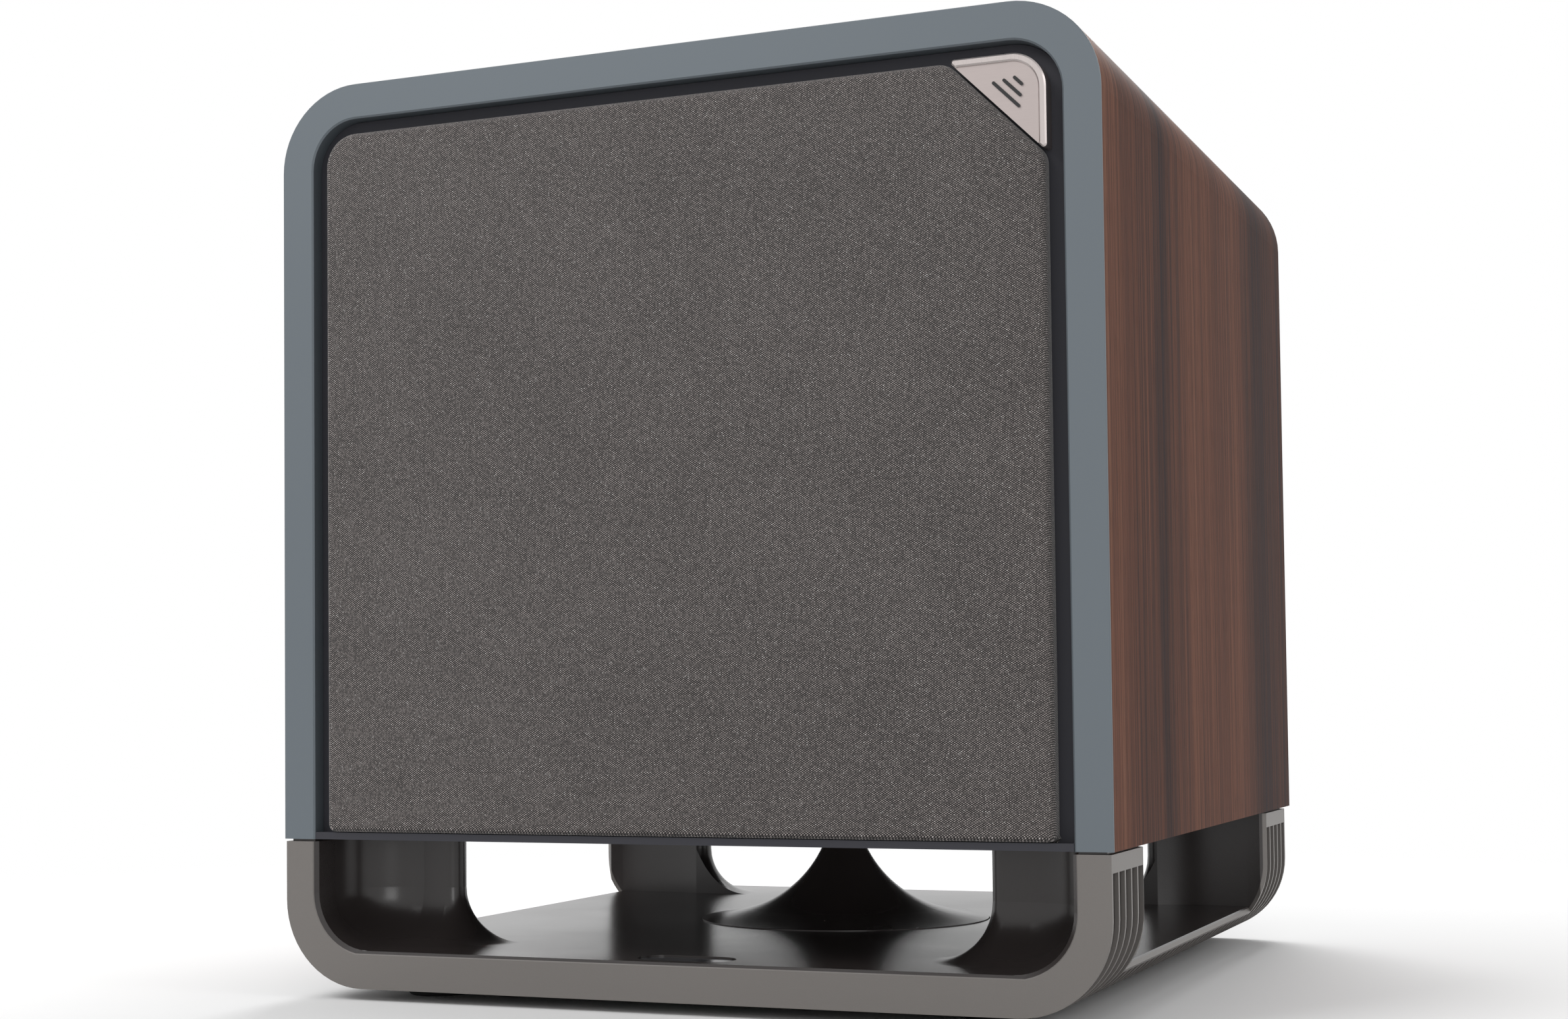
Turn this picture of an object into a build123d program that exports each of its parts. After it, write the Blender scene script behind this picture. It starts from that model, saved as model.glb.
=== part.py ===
from build123d import *
import math
import os

# A powered subwoofer with a front-firing driver and a port that blows down into an open base.
# Millimetres. +Z is up, the grille faces -Y, and the floor is Z = 0. The pieces are drawn with
# Y = 0 on the front face of the bezel, and save() moves them so that the origin lies under
# the middle of the whole object.

# ---------------------------------------------------------------- overall sizes
WIDTH = 362.0
DEPTH = 384.0            # front of the bezel to the back edge of the wrap
HEIGHT = 392.5           # floor to the top of the wrap
CORNER_R = 36.0          # rounded top corners of the wrap and the bezel
FOOT_HEIGHT = 5.0
BASE_HEIGHT = 62.0       # base frame, from its underside to the tops of its legs
SHADOW_GAP = 1.0         # dark line between the base and the cabinet

# ---------------------------------------------------------------- clearances
FIT = 0.2                # around a piece that drops into a pocket
RUNNING = 0.05           # radial, around a shaft or peg that moves
PILOT = 0.05             # radial, around the shank of a screw

# ---------------------------------------------------------------- cabinet boards
WRAP_T = 18.0
FLOOR_T = 18.0
BAFFLE_T = 25.0
REAR_T = 15.0
REAR_INSET = 1.0
BRACE_T = 15.0
BRACE_WEB = 42.0
PAD_T = 12.0

# ---------------------------------------------------------------- bezel, recess, grille
BEZEL_FACE = 15.0
BEZEL_T = 1.0
BEZEL_BEVEL = 0.35
SKIRT_T = 2.0
RECESS_DEPTH = 7.0
RECESS_T = 2.0
LIP_H = 3.0
GRILLE_GAP = 7.0
GRILLE_PROUD = 1.3
GRILLE_BORDER = 16.0
GRILLE_STAND_OFF = 0.5   # air behind the grille frame
CLOTH_T = 1.0
CLOTH_EDGE_R = 3.0
PEG_R = 3.95
PEG_LENGTH = 10.0
SOCKET_WALL = 3.0
BADGE_LEG = 39.0
BADGE_GAP = 1.0          # between the badge and the cut corner of the grille
BADGE_OUT = 1.0          # the badge's outer edges, beyond those of the grille
BADGE_T = 7.3
BADGE_RIM = 3.0
BADGE_RIM_H = 1.0
BADGE_SLOPE = 0.6
EMBLEM_H = 0.6

# ---------------------------------------------------------------- driver
DRIVER_SIZE = 128.0      # outer radius of the flange, where the cabinet has room for it
CUTOUT_EDGE = 12.0       # the flange, beyond the cutout
FLANGE_T = 4.0
REBATE_DEPTH = 16.0
SHEET_T = 2.5            # pressed basket
ROLL_R = 9.0
SURROUND_T = 1.0
SURROUND_LIP = 5.0
GASKET_T = 1.5
CONE_T = 1.2
CONE_DEPTH = 42.0
CAP_RISE = 15.0
CAP_T = 1.0
COIL_R = 25.5            # outside of the former
FORMER_T = 1.0
WINDING_T = 1.3
WINDING_LENGTH = 18.0
SHELF_DEPTH = 56.0       # flange face to the spider shelf
SHELF_WIDTH = 19.5
BASKET_DEPTH = 69.0      # flange face to the magnet
BASKET_HOLE_R = 30.0
TOP_PLATE_T = 8.0
MAGNET_BORE_R = 35.0
MAGNET_T = 20.0
POLE_R = 23.6
POLE_VENT_R = 7.0
COIL_GAP = 1.4
YOKE_T = 8.0
DRIVER_SCREWS = 8
WINDOWS = 8

# ---------------------------------------------------------------- port
PORT_Y = 207.0
PORT_BORE_R = 38.0
PORT_WALL = 3.0
PORT_LENGTH = 150.0
MOUTH_FLARE = 18.0
INNER_FLARE = 14.0
PORT_FLANGE_R = 68.0
PORT_SCREWS = 4

# ---------------------------------------------------------------- base
BASE_INSET = 1.0         # sides of the base, in from the wrap
BASE_DEPTH = 374.0
BASE_R = 37.0            # rounded lower corners
PLATE_H = 16.0           # underside to the floor of the mouth
SKIN_T = 5.0
RIB_T = 3.0
HOLLOW_EDGE = 9.0
LEG_WALL = 15.0
LEG_DEPTH = 55.0
LEG_REACH = 60.0         # how far the fin comes in from the side of the base
FIN_T = 12.0
FIN_HOLLOW = 4.0         # sag of the curved back of the fin
FIN_SWEEP_R = 28.0       # between the wall and the fin
FLARE_R = 24.0           # where the legs run out into the plate
RIM_BEVEL = 2.0
LEG_CHAMFER = 3.0
PAD_INSET = 2.0          # the pads on top of the legs, in from their edges
GROOVE_DEPTH = 3.5
GROOVE_PITCH = 10.3
GROOVE_FIN = 2.0
GROOVE_TOP = 7.0         # smooth band over the grooves
GROOVE_END = 80.0        # degrees round the lower corner
LEG_ROOT = 3.0           # how far the legs start below the top of the plate
EDGE_BEVEL = 3.0         # along the sides of the plate, between the legs
LEG_SCREW_X = 25.0       # in from the side of the base
LEG_SCREW_Y = 44.5
LEG_SCREW_BORE = 3.9
LEG_SCREW_SEAT = 45.0
DIFFUSER_R = 68.5
DIFFUSER_T = 2.0
DIFFUSER_SEAM = 0.5
DIFFUSER_TIP = 85.0
FOOT_R = 14.0
FOOT_X = 125.0
FOOT_Y = 36.0
BOSS_R = 17.0
LENS_LENGTH = 42.0
LENS_WIDTH = 20.0
LENS_Y = 17.0
LENS_T = 3.0

# ---------------------------------------------------------------- amplifier
PLATE_WIDTH = 236.0
PLATE_MARGIN = 106.5     # the cabinet's height less that of the amplifier plate
AMP_T = 3.0
AMP_GASKET_T = 1.5
AMP_BORDER = 12.0
AMP_SCREWS_HIGH = 4
PCB_WIDTH = 200.0
PCB_T = 1.6
PCB_GAP = 12.0
FIN_COUNT = 15
SINK_WIDTH = 150.0
SINK_BASE = 3.0
SINK_FIN_H = 10.0
SINK_FIN_T = 2.2
KNOB_R = 11.0
KNOB_PROUD = 15.0        # back of the knobs, beyond the amplifier plate
KNOB_AIR = 1.0
KNOB_CAVITY_R = 8.0
KNOB_RIDGES = 24
SHAFT_R = 3.0
BUSHING_R = 4.0
BUSHING_PROUD = 5.0
JACK_PITCH = 22.0
JACK_R = 4.2
SWITCH_SLOT = 4.4
LEVER_T = 4.0
LEVER_PROUD = 4.5
MODE_TRAVEL = 8.0
PHASE_TRAVEL = 4.0
ROCKER_TILT = 10.0
ROCKER_WIDTH = 10.8
ROCKER_HEIGHT = 16.4
PIN_R = 1.5              # the rocker's pivot
INLET_WIDTH = 27.0
INLET_HEIGHT = 36.0
DRAWER_W = 22.0
DRAWER_H = 7.0
DRAWER_DEPTH = 14.0
TRANSFORMER_X = -38.0
TRANSFORMER_R = 44.0
TRANSFORMER_BORE_R = 14.0
TRANSFORMER_T = 38.0

# ---------------------------------------------------------------- levels that follow
BASE_TOP = FOOT_HEIGHT + BASE_HEIGHT
CABINET_Z = BASE_TOP + SHADOW_GAP
INNER_TOP = HEIGHT - WRAP_T
PLATE_TOP = FOOT_HEIGHT + PLATE_H
SIDE = WIDTH / 2
INNER_SIDE = SIDE - WRAP_T
BAFFLE_Y = RECESS_DEPTH + RECESS_T
BAFFLE_BACK = BAFFLE_Y + BAFFLE_T
REAR_Y = DEPTH - REAR_INSET
REAR_FRONT = REAR_Y - REAR_T
OPENING_SIDE = SIDE - BEZEL_FACE
OPENING_TOP = HEIGHT - BEZEL_FACE
OPENING_R = CORNER_R - BEZEL_FACE
LIP_TOP = CABINET_Z + LIP_H
GRILLE_SIDE = OPENING_SIDE - GRILLE_GAP
GRILLE_TOP = OPENING_TOP - GRILLE_GAP + 0.5
GRILLE_BOTTOM = LIP_TOP + 0.3
GRILLE_R = OPENING_R - GRILLE_GAP
BADGE_FACE = RECESS_DEPTH - BADGE_T
GRILLE_CUT = BADGE_LEG - 2 * BADGE_OUT + BADGE_GAP * math.sqrt(2)
GRILLE_BACK = RECESS_DEPTH - GRILLE_STAND_OFF
DRIVER_Z = (CABINET_Z + HEIGHT) / 2 - 8.0
DRIVER_ROOM = DRIVER_Z - CABINET_Z - FLOOR_T - 1.0
DRIVER_R = min(DRIVER_SIZE, DRIVER_ROOM + CUTOUT_EDGE)
CUTOUT_R = DRIVER_R - CUTOUT_EDGE
DRIVER_SCREW_R = DRIVER_R - 5.0
SURROUND_R = DRIVER_R * 0.8125          # middle of the roll
SHELF_R = DRIVER_R * 0.65625
MAGNET_R = DRIVER_R * 0.546875
TOP_PLATE_R = DRIVER_R * 0.4765625
BASKET_LAND_R = DRIVER_R * 0.46875
CAP_R = DRIVER_R * 0.34375
SEAT_Y = BAFFLE_Y + REBATE_DEPTH
FLANGE_Y = SEAT_Y - FLANGE_T
CONE_RIM_R = SURROUND_R - ROLL_R
SHELF_Y = FLANGE_Y + SHELF_DEPTH
MOTOR_Y = FLANGE_Y + BASKET_DEPTH
MAGNET_Y = MOTOR_Y + TOP_PLATE_T
YOKE_Y = MAGNET_Y + MAGNET_T
BRACE_Y = YOKE_Y + YOKE_T + 5.0
BASE_SIDE = SIDE - BASE_INSET
BASE_ARC_X = BASE_SIDE - BASE_R
BASE_ARC_Z = FOOT_HEIGHT + BASE_R
AMP_Z = (CABINET_Z + INNER_TOP) / 2
AMP_BACK = REAR_Y
AMP_FRONT = AMP_BACK - AMP_T
PLATE_HEIGHT = HEIGHT - PLATE_MARGIN
PLATE_SCALE = PLATE_HEIGHT / 286.0      # against the plate that the levels below are set for
PCB_BACK = AMP_FRONT - PCB_GAP
PCB_HEIGHT = 206.0 * PLATE_SCALE
PCB_Z = AMP_Z + 28.0 * PLATE_SCALE
SINK_HEIGHT = 100.0 * PLATE_SCALE
SINK_Z = AMP_Z - 10.0 * PLATE_SCALE
CONTROL_Z = AMP_Z + 78.0 * PLATE_SCALE
JACK_Z = AMP_Z + 116.0 * PLATE_SCALE
POWER_Z = AMP_Z - 108.0 * PLATE_SCALE
VOLUME_X = 52.0
LOW_PASS_X = -8.0
MODE_X = -72.0
PHASE_X = -50.0
JACKS_X = 50.0
INLET_X = -52.0
ROCKER_X = 8.0
ROCKER_PIVOT_Y = AMP_BACK - 5.0
FUSE_Z = POWER_Z - 12.0
SOCKET_Z = POWER_Z + 5.5
TRANSFORMER_Z = PCB_Z - 30.0
MODE_SWITCH = (MODE_X, CONTROL_Z, MODE_TRAVEL)
PHASE_SWITCH = (PHASE_X, JACK_Z, PHASE_TRAVEL)
FRONT_SHIFT = (GRILLE_PROUD - AMP_BACK - KNOB_PROUD) / 2


# ---------------------------------------------------------------- helpers
def save(name, *solids):
    """Write one node, moved so that the origin is under the middle of the object."""
    group = solids[0] if len(solids) == 1 else Compound(children=list(solids))
    export_step(Pos(0, FRONT_SHIFT, 0) * group, os.path.join("parts", name + ".step"))


def slab(sketch, front, back):
    """Extrude a front-view sketch (X across, Z up) between two depths."""
    return Pos(0, back, 0) * extrude(Plane.XZ * sketch, amount=back - front)


def deck(sketch, low, high):
    """Extrude a plan sketch (X across, Y deep) between two heights."""
    return Pos(0, 0, low) * extrude(sketch, amount=high - low)


def block(x, y, z):
    """A box from three (low, high) spans."""
    size = [span[1] - span[0] for span in (x, y, z)]
    middle = [(span[0] + span[1]) / 2 for span in (x, y, z)]
    return Pos(*middle) * Box(*size)


def lathe(profile, x=0.0, y=0.0):
    """Turn a (radius, height) profile about a vertical line."""
    return Pos(x, y, 0) * revolve(Plane.XZ * profile, Axis.Z)


def lathe_deep(profile, x, z):
    """Turn a (radius, depth) profile about a line that runs front to back."""
    return Pos(x, 0, z) * Rot(-90, 0, 0) * revolve(Plane.XZ * profile, Axis.Z)


def ring(inner, outer, low, high):
    """A rectangular profile for a lathe."""
    return Pos((inner + outer) / 2, (low + high) / 2) * Rectangle(outer - inner, high - low)


def rod(radius, x, z, front, back):
    """A round bar from front to back."""
    return Pos(x, (front + back) / 2, z) * Rot(-90, 0, 0) * Cylinder(radius, back - front)


def post(radius, x, y, low, high):
    """A round bar that stands up."""
    return Pos(x, y, (low + high) / 2) * Cylinder(radius, high - low)


def outline(points, centre=(0.0, 0.0)):
    """A polygon face from its corner points."""
    return Pos(*centre) * Polygon(*points, align=None)


def around(count, radius, x, z, start=0.0):
    """Places evenly round a circle in the front view."""
    turns = [math.radians(start + 360.0 * i / count) for i in range(count)]
    return [(x + radius * math.cos(t), z + radius * math.sin(t)) for t in turns]


def screw(head_r, head_t, shank_r, length):
    """A screw whose head rests on Z = 0 and whose shank points down."""
    head = Pos(0, 0, head_t / 2) * Cylinder(head_r, head_t)
    head = fillet(head.edges().sort_by(Axis.Z)[-1], head_t * 0.45)
    drive = Pos(0, 0, head_t) * Box(head_r, head_r * 0.28, head_t)
    drive += Pos(0, 0, head_t) * Box(head_r * 0.28, head_r, head_t)
    shank = Pos(0, 0, -length / 2) * Cylinder(shank_r, length)
    return head - drive + shank


def arch(side, low, high, radius, foot_radius=0.0):
    """A front-view face with rounded top corners."""
    face = Pos(0, (low + high) / 2) * Rectangle(2 * side, high - low)
    corners = face.vertices().group_by(Axis.Y)
    face = fillet(corners[-1], radius)
    if foot_radius:
        face = fillet(face.vertices().group_by(Axis.Y)[0], foot_radius)
    return face


def rounded(width, height, x, z, radius):
    """A rounded rectangle in the front view."""
    return Pos(x, z) * RectangleRounded(width, height, radius)


# ---------------------------------------------------------------- cabinet
def peg_places():
    """The four grille pegs, on the middle of the grille border."""
    inset = GRILLE_BORDER / 2
    side = GRILLE_SIDE - inset
    low = GRILLE_BOTTOM + inset + 14.0
    high = GRILLE_TOP - BADGE_LEG - inset - 14.0
    return [(-side, low), (side, low), (-side, high), (side, high)]


def cabinet_wrap():
    outer = arch(SIDE, CABINET_Z, HEIGHT, CORNER_R)
    inner = arch(INNER_SIDE, CABINET_Z - 1, INNER_TOP, CORNER_R - WRAP_T)
    body = slab(outer - inner, BEZEL_T, DEPTH)
    step = SKIRT_T + FIT
    rebate = arch(OPENING_SIDE + step, CABINET_Z - 1, OPENING_TOP + step, OPENING_R + step)
    return body - slab(rebate, 0, BAFFLE_Y)


def front_baffle():
    board = slab(arch(INNER_SIDE, CABINET_Z, INNER_TOP, CORNER_R - WRAP_T + 1), BAFFLE_Y, BAFFLE_BACK)
    board -= rod(DRIVER_R + 1, 0, DRIVER_Z, BAFFLE_Y, SEAT_Y)
    board -= rod(CUTOUT_R, 0, DRIVER_Z, BAFFLE_Y, BAFFLE_BACK)
    for x, z in around(DRIVER_SCREWS, DRIVER_SCREW_R, 0, DRIVER_Z, 22.5):
        board -= rod(2.0 + PILOT, x, z, SEAT_Y, SEAT_Y + 7.5)
    for x, z in peg_places():
        board -= rod(PEG_R + RUNNING + SOCKET_WALL, x, z, BAFFLE_Y, GRILLE_BACK + PEG_LENGTH + 2)
    return board


def rear_panel():
    board = slab(arch(INNER_SIDE, CABINET_Z, INNER_TOP, CORNER_R - WRAP_T + 1), REAR_FRONT, REAR_Y)
    seat = rounded(PLATE_WIDTH + 2 * FIT, PLATE_HEIGHT + 2 * FIT, 0, AMP_Z, 6 + FIT)
    hole = rounded(PLATE_WIDTH - 2 * AMP_BORDER, PLATE_HEIGHT - 2 * AMP_BORDER, 0, AMP_Z, 4)
    board -= slab(seat, AMP_FRONT - AMP_GASKET_T, REAR_Y)
    board -= slab(hole, REAR_FRONT, REAR_Y)
    for x, z in amp_screw_places():
        board -= rod(1.8 + PILOT, x, z, REAR_FRONT, REAR_Y)
    return board


def bottom_panel():
    board = block((-INNER_SIDE, INNER_SIDE), (BAFFLE_BACK, REAR_FRONT), (CABINET_Z, CABINET_Z + FLOOR_T))
    board -= post(PORT_FLANGE_R + FIT, 0, PORT_Y, CABINET_Z, CABINET_Z + PORT_WALL)
    board -= post(PORT_BORE_R + MOUTH_FLARE + 1, 0, PORT_Y, CABINET_Z, CABINET_Z + FLOOR_T)
    for x, y in port_screw_places():
        board -= post(1.8 + PILOT, x, y, CABINET_Z, CABINET_Z + 14)
    for x, y in leg_screw_places():
        board -= post(2.2 + PILOT, x, y, CABINET_Z, CABINET_Z + 14)
    return board


def cabinet_brace():
    low = CABINET_Z + FLOOR_T
    board = slab(arch(INNER_SIDE, low, INNER_TOP, CORNER_R - WRAP_T + 1), BRACE_Y, BRACE_Y + BRACE_T)
    window = rounded(
        2 * (INNER_SIDE - BRACE_WEB), INNER_TOP - low - 2 * BRACE_WEB, 0, (low + INNER_TOP) / 2, 30
    )
    return board - slab(window, BRACE_Y, BRACE_Y + BRACE_T)


def damping_pad(hand):
    low, high = sorted((hand * INNER_SIDE, hand * (INNER_SIDE - PAD_T)))
    front = BRACE_Y + BRACE_T + 10
    pad = block((low, high), (front, REAR_FRONT - 25), (CABINET_Z + 34, INNER_TOP - 26))
    return fillet(pad.edges().filter_by(Axis.X), 10)


# ---------------------------------------------------------------- bezel, recess and grille
def front_bezel():
    outer = arch(SIDE, CABINET_Z, HEIGHT, CORNER_R)
    inner = arch(OPENING_SIDE, CABINET_Z - 1, OPENING_TOP, OPENING_R)
    face = slab(outer - inner, 0, BEZEL_T)
    skirt_outer = arch(OPENING_SIDE + SKIRT_T, CABINET_Z, OPENING_TOP + SKIRT_T, OPENING_R + SKIRT_T)
    skirt = slab(skirt_outer - inner, BEZEL_T, BAFFLE_Y)
    bezel = face + skirt
    rim = [e for e in bezel.edges().filter_by_position(Axis.Y, -0.01, 0.01) if e.center().Z > LIP_TOP]
    half_way = BEZEL_FACE / 2
    inner_rim = [
        e for e in rim if abs(e.center().X) < OPENING_SIDE + 0.1 and e.center().Z < OPENING_TOP + 0.1
    ]
    bezel = chamfer(inner_rim, 0.7)
    rim = [e for e in bezel.edges().filter_by_position(Axis.Y, -0.01, 0.01) if e.center().Z > LIP_TOP]
    outer_rim = [
        e
        for e in rim
        if abs(e.center().X) > OPENING_SIDE + half_way or e.center().Z > OPENING_TOP + half_way
    ]
    return chamfer(outer_rim, BEZEL_BEVEL)


def recess_panel():
    edge = OPENING_SIDE - FIT
    face = arch(edge, CABINET_Z, OPENING_TOP - FIT, OPENING_R - FIT)
    panel = slab(face, RECESS_DEPTH, BAFFLE_Y)
    panel += block((-edge, edge), (0.5, RECESS_DEPTH), (CABINET_Z, LIP_TOP))
    panel -= rod(DRIVER_R + 1, 0, DRIVER_Z, RECESS_DEPTH, BAFFLE_Y)
    for x, z in peg_places():
        panel -= rod(PEG_R + RUNNING + SOCKET_WALL, x, z, RECESS_DEPTH, BAFFLE_Y)
    return panel


def grille_sockets():
    hole = PEG_R + RUNNING
    end = GRILLE_BACK + PEG_LENGTH
    cups = []
    for x, z in peg_places():
        cup = rod(hole + SOCKET_WALL, x, z, RECESS_DEPTH, end + 2)
        cup -= rod(hole, x, z, RECESS_DEPTH, end + 0.5)
        cups.append(cup)
    return cups


def grille_outline(side, low, high, radius, cut):
    """The grille's outline, with its top right corner cut off for the badge."""
    points = [(-side, low), (side, low), (side, high - cut), (side - cut, high), (-side, high)]
    face = outline(points)
    corner = face.vertices().sort_by_distance((-side, high, 0))[0]
    face = fillet(corner, radius)
    lower = face.vertices().group_by(Axis.Y)[0]
    face = fillet(lower, 3.0)
    blunt = [v for v in face.vertices() if v.X > side - cut - 1 and v.Y > high - cut - 1]
    return fillet(blunt, 3.0)


def grille_shell(inset):
    """The grille's envelope, rounded over at the front, inset all round."""
    side = GRILLE_SIDE - inset
    cut = GRILLE_CUT - inset * (2 - math.sqrt(2))
    face = grille_outline(
        side, GRILLE_BOTTOM + inset, GRILLE_TOP - inset, GRILLE_R - inset, cut
    )
    body = slab(face, inset - GRILLE_PROUD, GRILLE_BACK)
    face_y = inset - GRILLE_PROUD
    front = body.edges().filter_by_position(Axis.Y, face_y - 0.01, face_y + 0.01)
    return fillet(front, CLOTH_EDGE_R - inset)


def grille_frame():
    body = grille_shell(CLOTH_T)
    side = GRILLE_SIDE - GRILLE_BORDER
    low = GRILLE_BOTTOM + GRILLE_BORDER
    high = GRILLE_TOP - GRILLE_BORDER
    cut = GRILLE_CUT - GRILLE_BORDER * (2 - math.sqrt(2))
    body -= slab(grille_outline(side, low, high, 6, cut), -GRILLE_PROUD, GRILLE_BACK)
    for x, z in peg_places():
        peg = rod(PEG_R, x, z, GRILLE_BACK, GRILLE_BACK + PEG_LENGTH)
        body += chamfer(peg.edges().sort_by(Axis.Y)[-1], 1.0)
    return body


def grille_cloth():
    return grille_shell(0) - grille_shell(CLOTH_T)


def badge_outline(inset):
    """A right triangle in the top right corner with a rounded outer corner."""
    right = GRILLE_SIDE + BADGE_OUT - inset
    top = GRILLE_TOP + BADGE_OUT - inset
    leg = BADGE_LEG - inset * (2 + math.sqrt(2)) + inset * 2
    face = outline([(right, top), (right - leg, top), (right, top - leg)])
    outer = face.vertices().sort_by_distance((right, top, 0))
    face = fillet(outer[0], GRILLE_R - inset)
    tips = [v for v in face.vertices() if v.X < right - leg + 0.5 or v.Y < top - leg + 0.5]
    return fillet(tips, 1.2)


def badge_plate():
    return slab(badge_outline(0), BADGE_FACE, RECESS_DEPTH)


def badge_rim():
    """A raised rim whose front edges slope away."""
    front = BADGE_FACE - BADGE_RIM_H
    rim = slab(badge_outline(0) - badge_outline(BADGE_RIM), front, BADGE_FACE)
    return chamfer(rim.edges().filter_by_position(Axis.Y, front - 0.01, front + 0.01), BADGE_SLOPE)


def badge_emblem():
    """Three plain raised bars, square to the cut corner."""
    x = GRILLE_SIDE + BADGE_OUT - BADGE_LEG * 0.34
    z = GRILLE_TOP + BADGE_OUT - BADGE_LEG * 0.34
    bars = []
    for step, length in ((-3.4, 15.0), (0.0, 10.0), (3.4, 5.0)):
        place = Pos(x + step * math.sqrt(0.5), z + step * math.sqrt(0.5)) * Rot(0, 0, -45)
        bars.append(slab(place * SlotOverall(length, 1.3), BADGE_FACE - EMBLEM_H, BADGE_FACE))
    return bars


# ---------------------------------------------------------------- driver
def driver_screw_places():
    return around(DRIVER_SCREWS, DRIVER_SCREW_R, 0, DRIVER_Z, 22.5)


def woofer_basket():
    shelf_in = SHELF_R - SHELF_WIDTH
    front = [
        (DRIVER_R, FLANGE_Y),
        (CUTOUT_R - 4, FLANGE_Y),
        (CUTOUT_R - 6, FLANGE_Y + 15),
        (SHELF_R, SHELF_Y),
        (shelf_in, SHELF_Y),
        (BASKET_LAND_R - SHEET_T, MOTOR_Y - SHEET_T),
        (BASKET_HOLE_R, MOTOR_Y - SHEET_T),
    ]
    back = [
        (BASKET_HOLE_R, MOTOR_Y),
        (BASKET_LAND_R, MOTOR_Y),
        (shelf_in + 2, SHELF_Y + SHEET_T),
        (SHELF_R + 2, SHELF_Y + SHEET_T),
        (CUTOUT_R - 3.5, FLANGE_Y + 17),
        (CUTOUT_R - 1.5, SEAT_Y),
        (DRIVER_R, SEAT_Y),
    ]
    basket = lathe_deep(outline(front + back), 0, DRIVER_Z)
    height = SHELF_Y - FLANGE_Y - 22
    window = Box(38, height, 40)
    window = fillet(window.edges().filter_by(Axis.Z), 8)
    for i in range(WINDOWS):
        place = Pos(0, (FLANGE_Y + 19 + SHELF_Y - 3) / 2, DRIVER_Z) * Rot(0, 360.0 * i / WINDOWS, 0)
        basket -= place * Pos(0, 0, (SHELF_R + CUTOUT_R) / 2) * window
    for x, z in driver_screw_places():
        basket -= rod(2.3, x, z, FLANGE_Y, SEAT_Y)
    return basket


def woofer_gasket():
    lip = SURROUND_R + ROLL_R + SURROUND_LIP
    inner = SURROUND_R + ROLL_R + 1
    back = FLANGE_Y - SURROUND_T
    profile = ring(inner, DRIVER_R, back - GASKET_T, back) + ring(lip, DRIVER_R, back, FLANGE_Y)
    gasket = lathe_deep(profile, 0, DRIVER_Z)
    for x, z in driver_screw_places():
        gasket -= rod(2.3, x, z, back - GASKET_T, FLANGE_Y)
    return gasket


def surround():
    back = FLANGE_Y
    mid = back - SURROUND_T / 2
    outer = ROLL_R + SURROUND_T / 2
    roll = Pos(SURROUND_R, mid) * (Circle(outer) - Circle(outer - SURROUND_T))
    roll -= Pos(SURROUND_R, back - SURROUND_T / 2 + outer) * Rectangle(4 * outer, 2 * outer)
    half = SURROUND_T / 2
    wide = SURROUND_LIP + SURROUND_T
    edge = SURROUND_R + ROLL_R
    lips = ring(edge - half, edge + SURROUND_LIP, back - SURROUND_T, back)
    lips += ring(CONE_RIM_R - wide, CONE_RIM_R + half, back - SURROUND_T, back)
    return lathe_deep(roll + lips, 0, DRIVER_Z)


def cone_front(radius):
    """Depth of the cone's front face at a radius."""
    rim = CONE_RIM_R - SURROUND_LIP
    return FLANGE_Y + CONE_DEPTH * (rim - radius) / (rim - COIL_R)


def cone():
    rim = CONE_RIM_R - SURROUND_LIP
    slope = math.hypot(CONE_DEPTH, rim - COIL_R) / (rim - COIL_R) * CONE_T
    profile = [
        (CONE_RIM_R, FLANGE_Y),
        (rim, FLANGE_Y),
        (COIL_R, FLANGE_Y + CONE_DEPTH),
        (COIL_R, FLANGE_Y + CONE_DEPTH + slope),
        (rim, FLANGE_Y + slope),
        (CONE_RIM_R, FLANGE_Y + slope),
    ]
    return lathe_deep(outline(profile), 0, DRIVER_Z)


def dust_cap():
    radius = (CAP_R**2 + CAP_RISE**2) / (2 * CAP_RISE)
    rim = cone_front(CAP_R)
    centre = rim - CAP_RISE + radius
    dome = Pos(0, centre) * (Circle(radius) - Circle(radius - CAP_T))
    keep = ring(0, CAP_R, rim - CAP_RISE - 1, rim)
    skirt = outline([
        (CAP_R + 3, cone_front(CAP_R + 3)),
        (CAP_R - 2, cone_front(CAP_R - 2)),
        (CAP_R - 2, rim - CAP_T),
        (CAP_R, rim - CAP_T),
    ])
    cut = outline([
        (0, cone_front(0)),
        (CAP_R + 9, cone_front(CAP_R + 9)),
        (CAP_R + 9, cone_front(0)),
    ])
    return lathe_deep((dome & keep) + skirt - cut, 0, DRIVER_Z)


def coil_front():
    return FLANGE_Y + CONE_DEPTH - 3


def coil_former():
    back = MAGNET_Y + 7
    return lathe_deep(ring(COIL_R - FORMER_T, COIL_R, coil_front(), back), 0, DRIVER_Z)


def coil_winding():
    middle = MOTOR_Y + TOP_PLATE_T / 2
    span = (middle - WINDING_LENGTH / 2, middle + WINDING_LENGTH / 2)
    return lathe_deep(ring(COIL_R, COIL_R + WINDING_T, *span), 0, DRIVER_Z)


def spider():
    """A corrugated ring, glued to the former and to the shelf of the basket."""
    thick = 0.7
    level = SHELF_Y - 2.0
    rolls = 5
    start = COIL_R + 3
    end = SHELF_R - 9
    steps = rolls * 8
    top = []
    for i in range(steps + 1):
        share = i / steps
        wave = 1.2 * math.sin(2 * math.pi * rolls * share)
        top.append((start + (end - start) * share, level - thick + wave))
    top = [(COIL_R, level - thick)] + top + [(end + 2, SHELF_Y - thick), (SHELF_R - 0.5, SHELF_Y - thick)]
    low = [(r, d + thick) for r, d in reversed(top)]
    return lathe_deep(outline(top + low), 0, DRIVER_Z)


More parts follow.
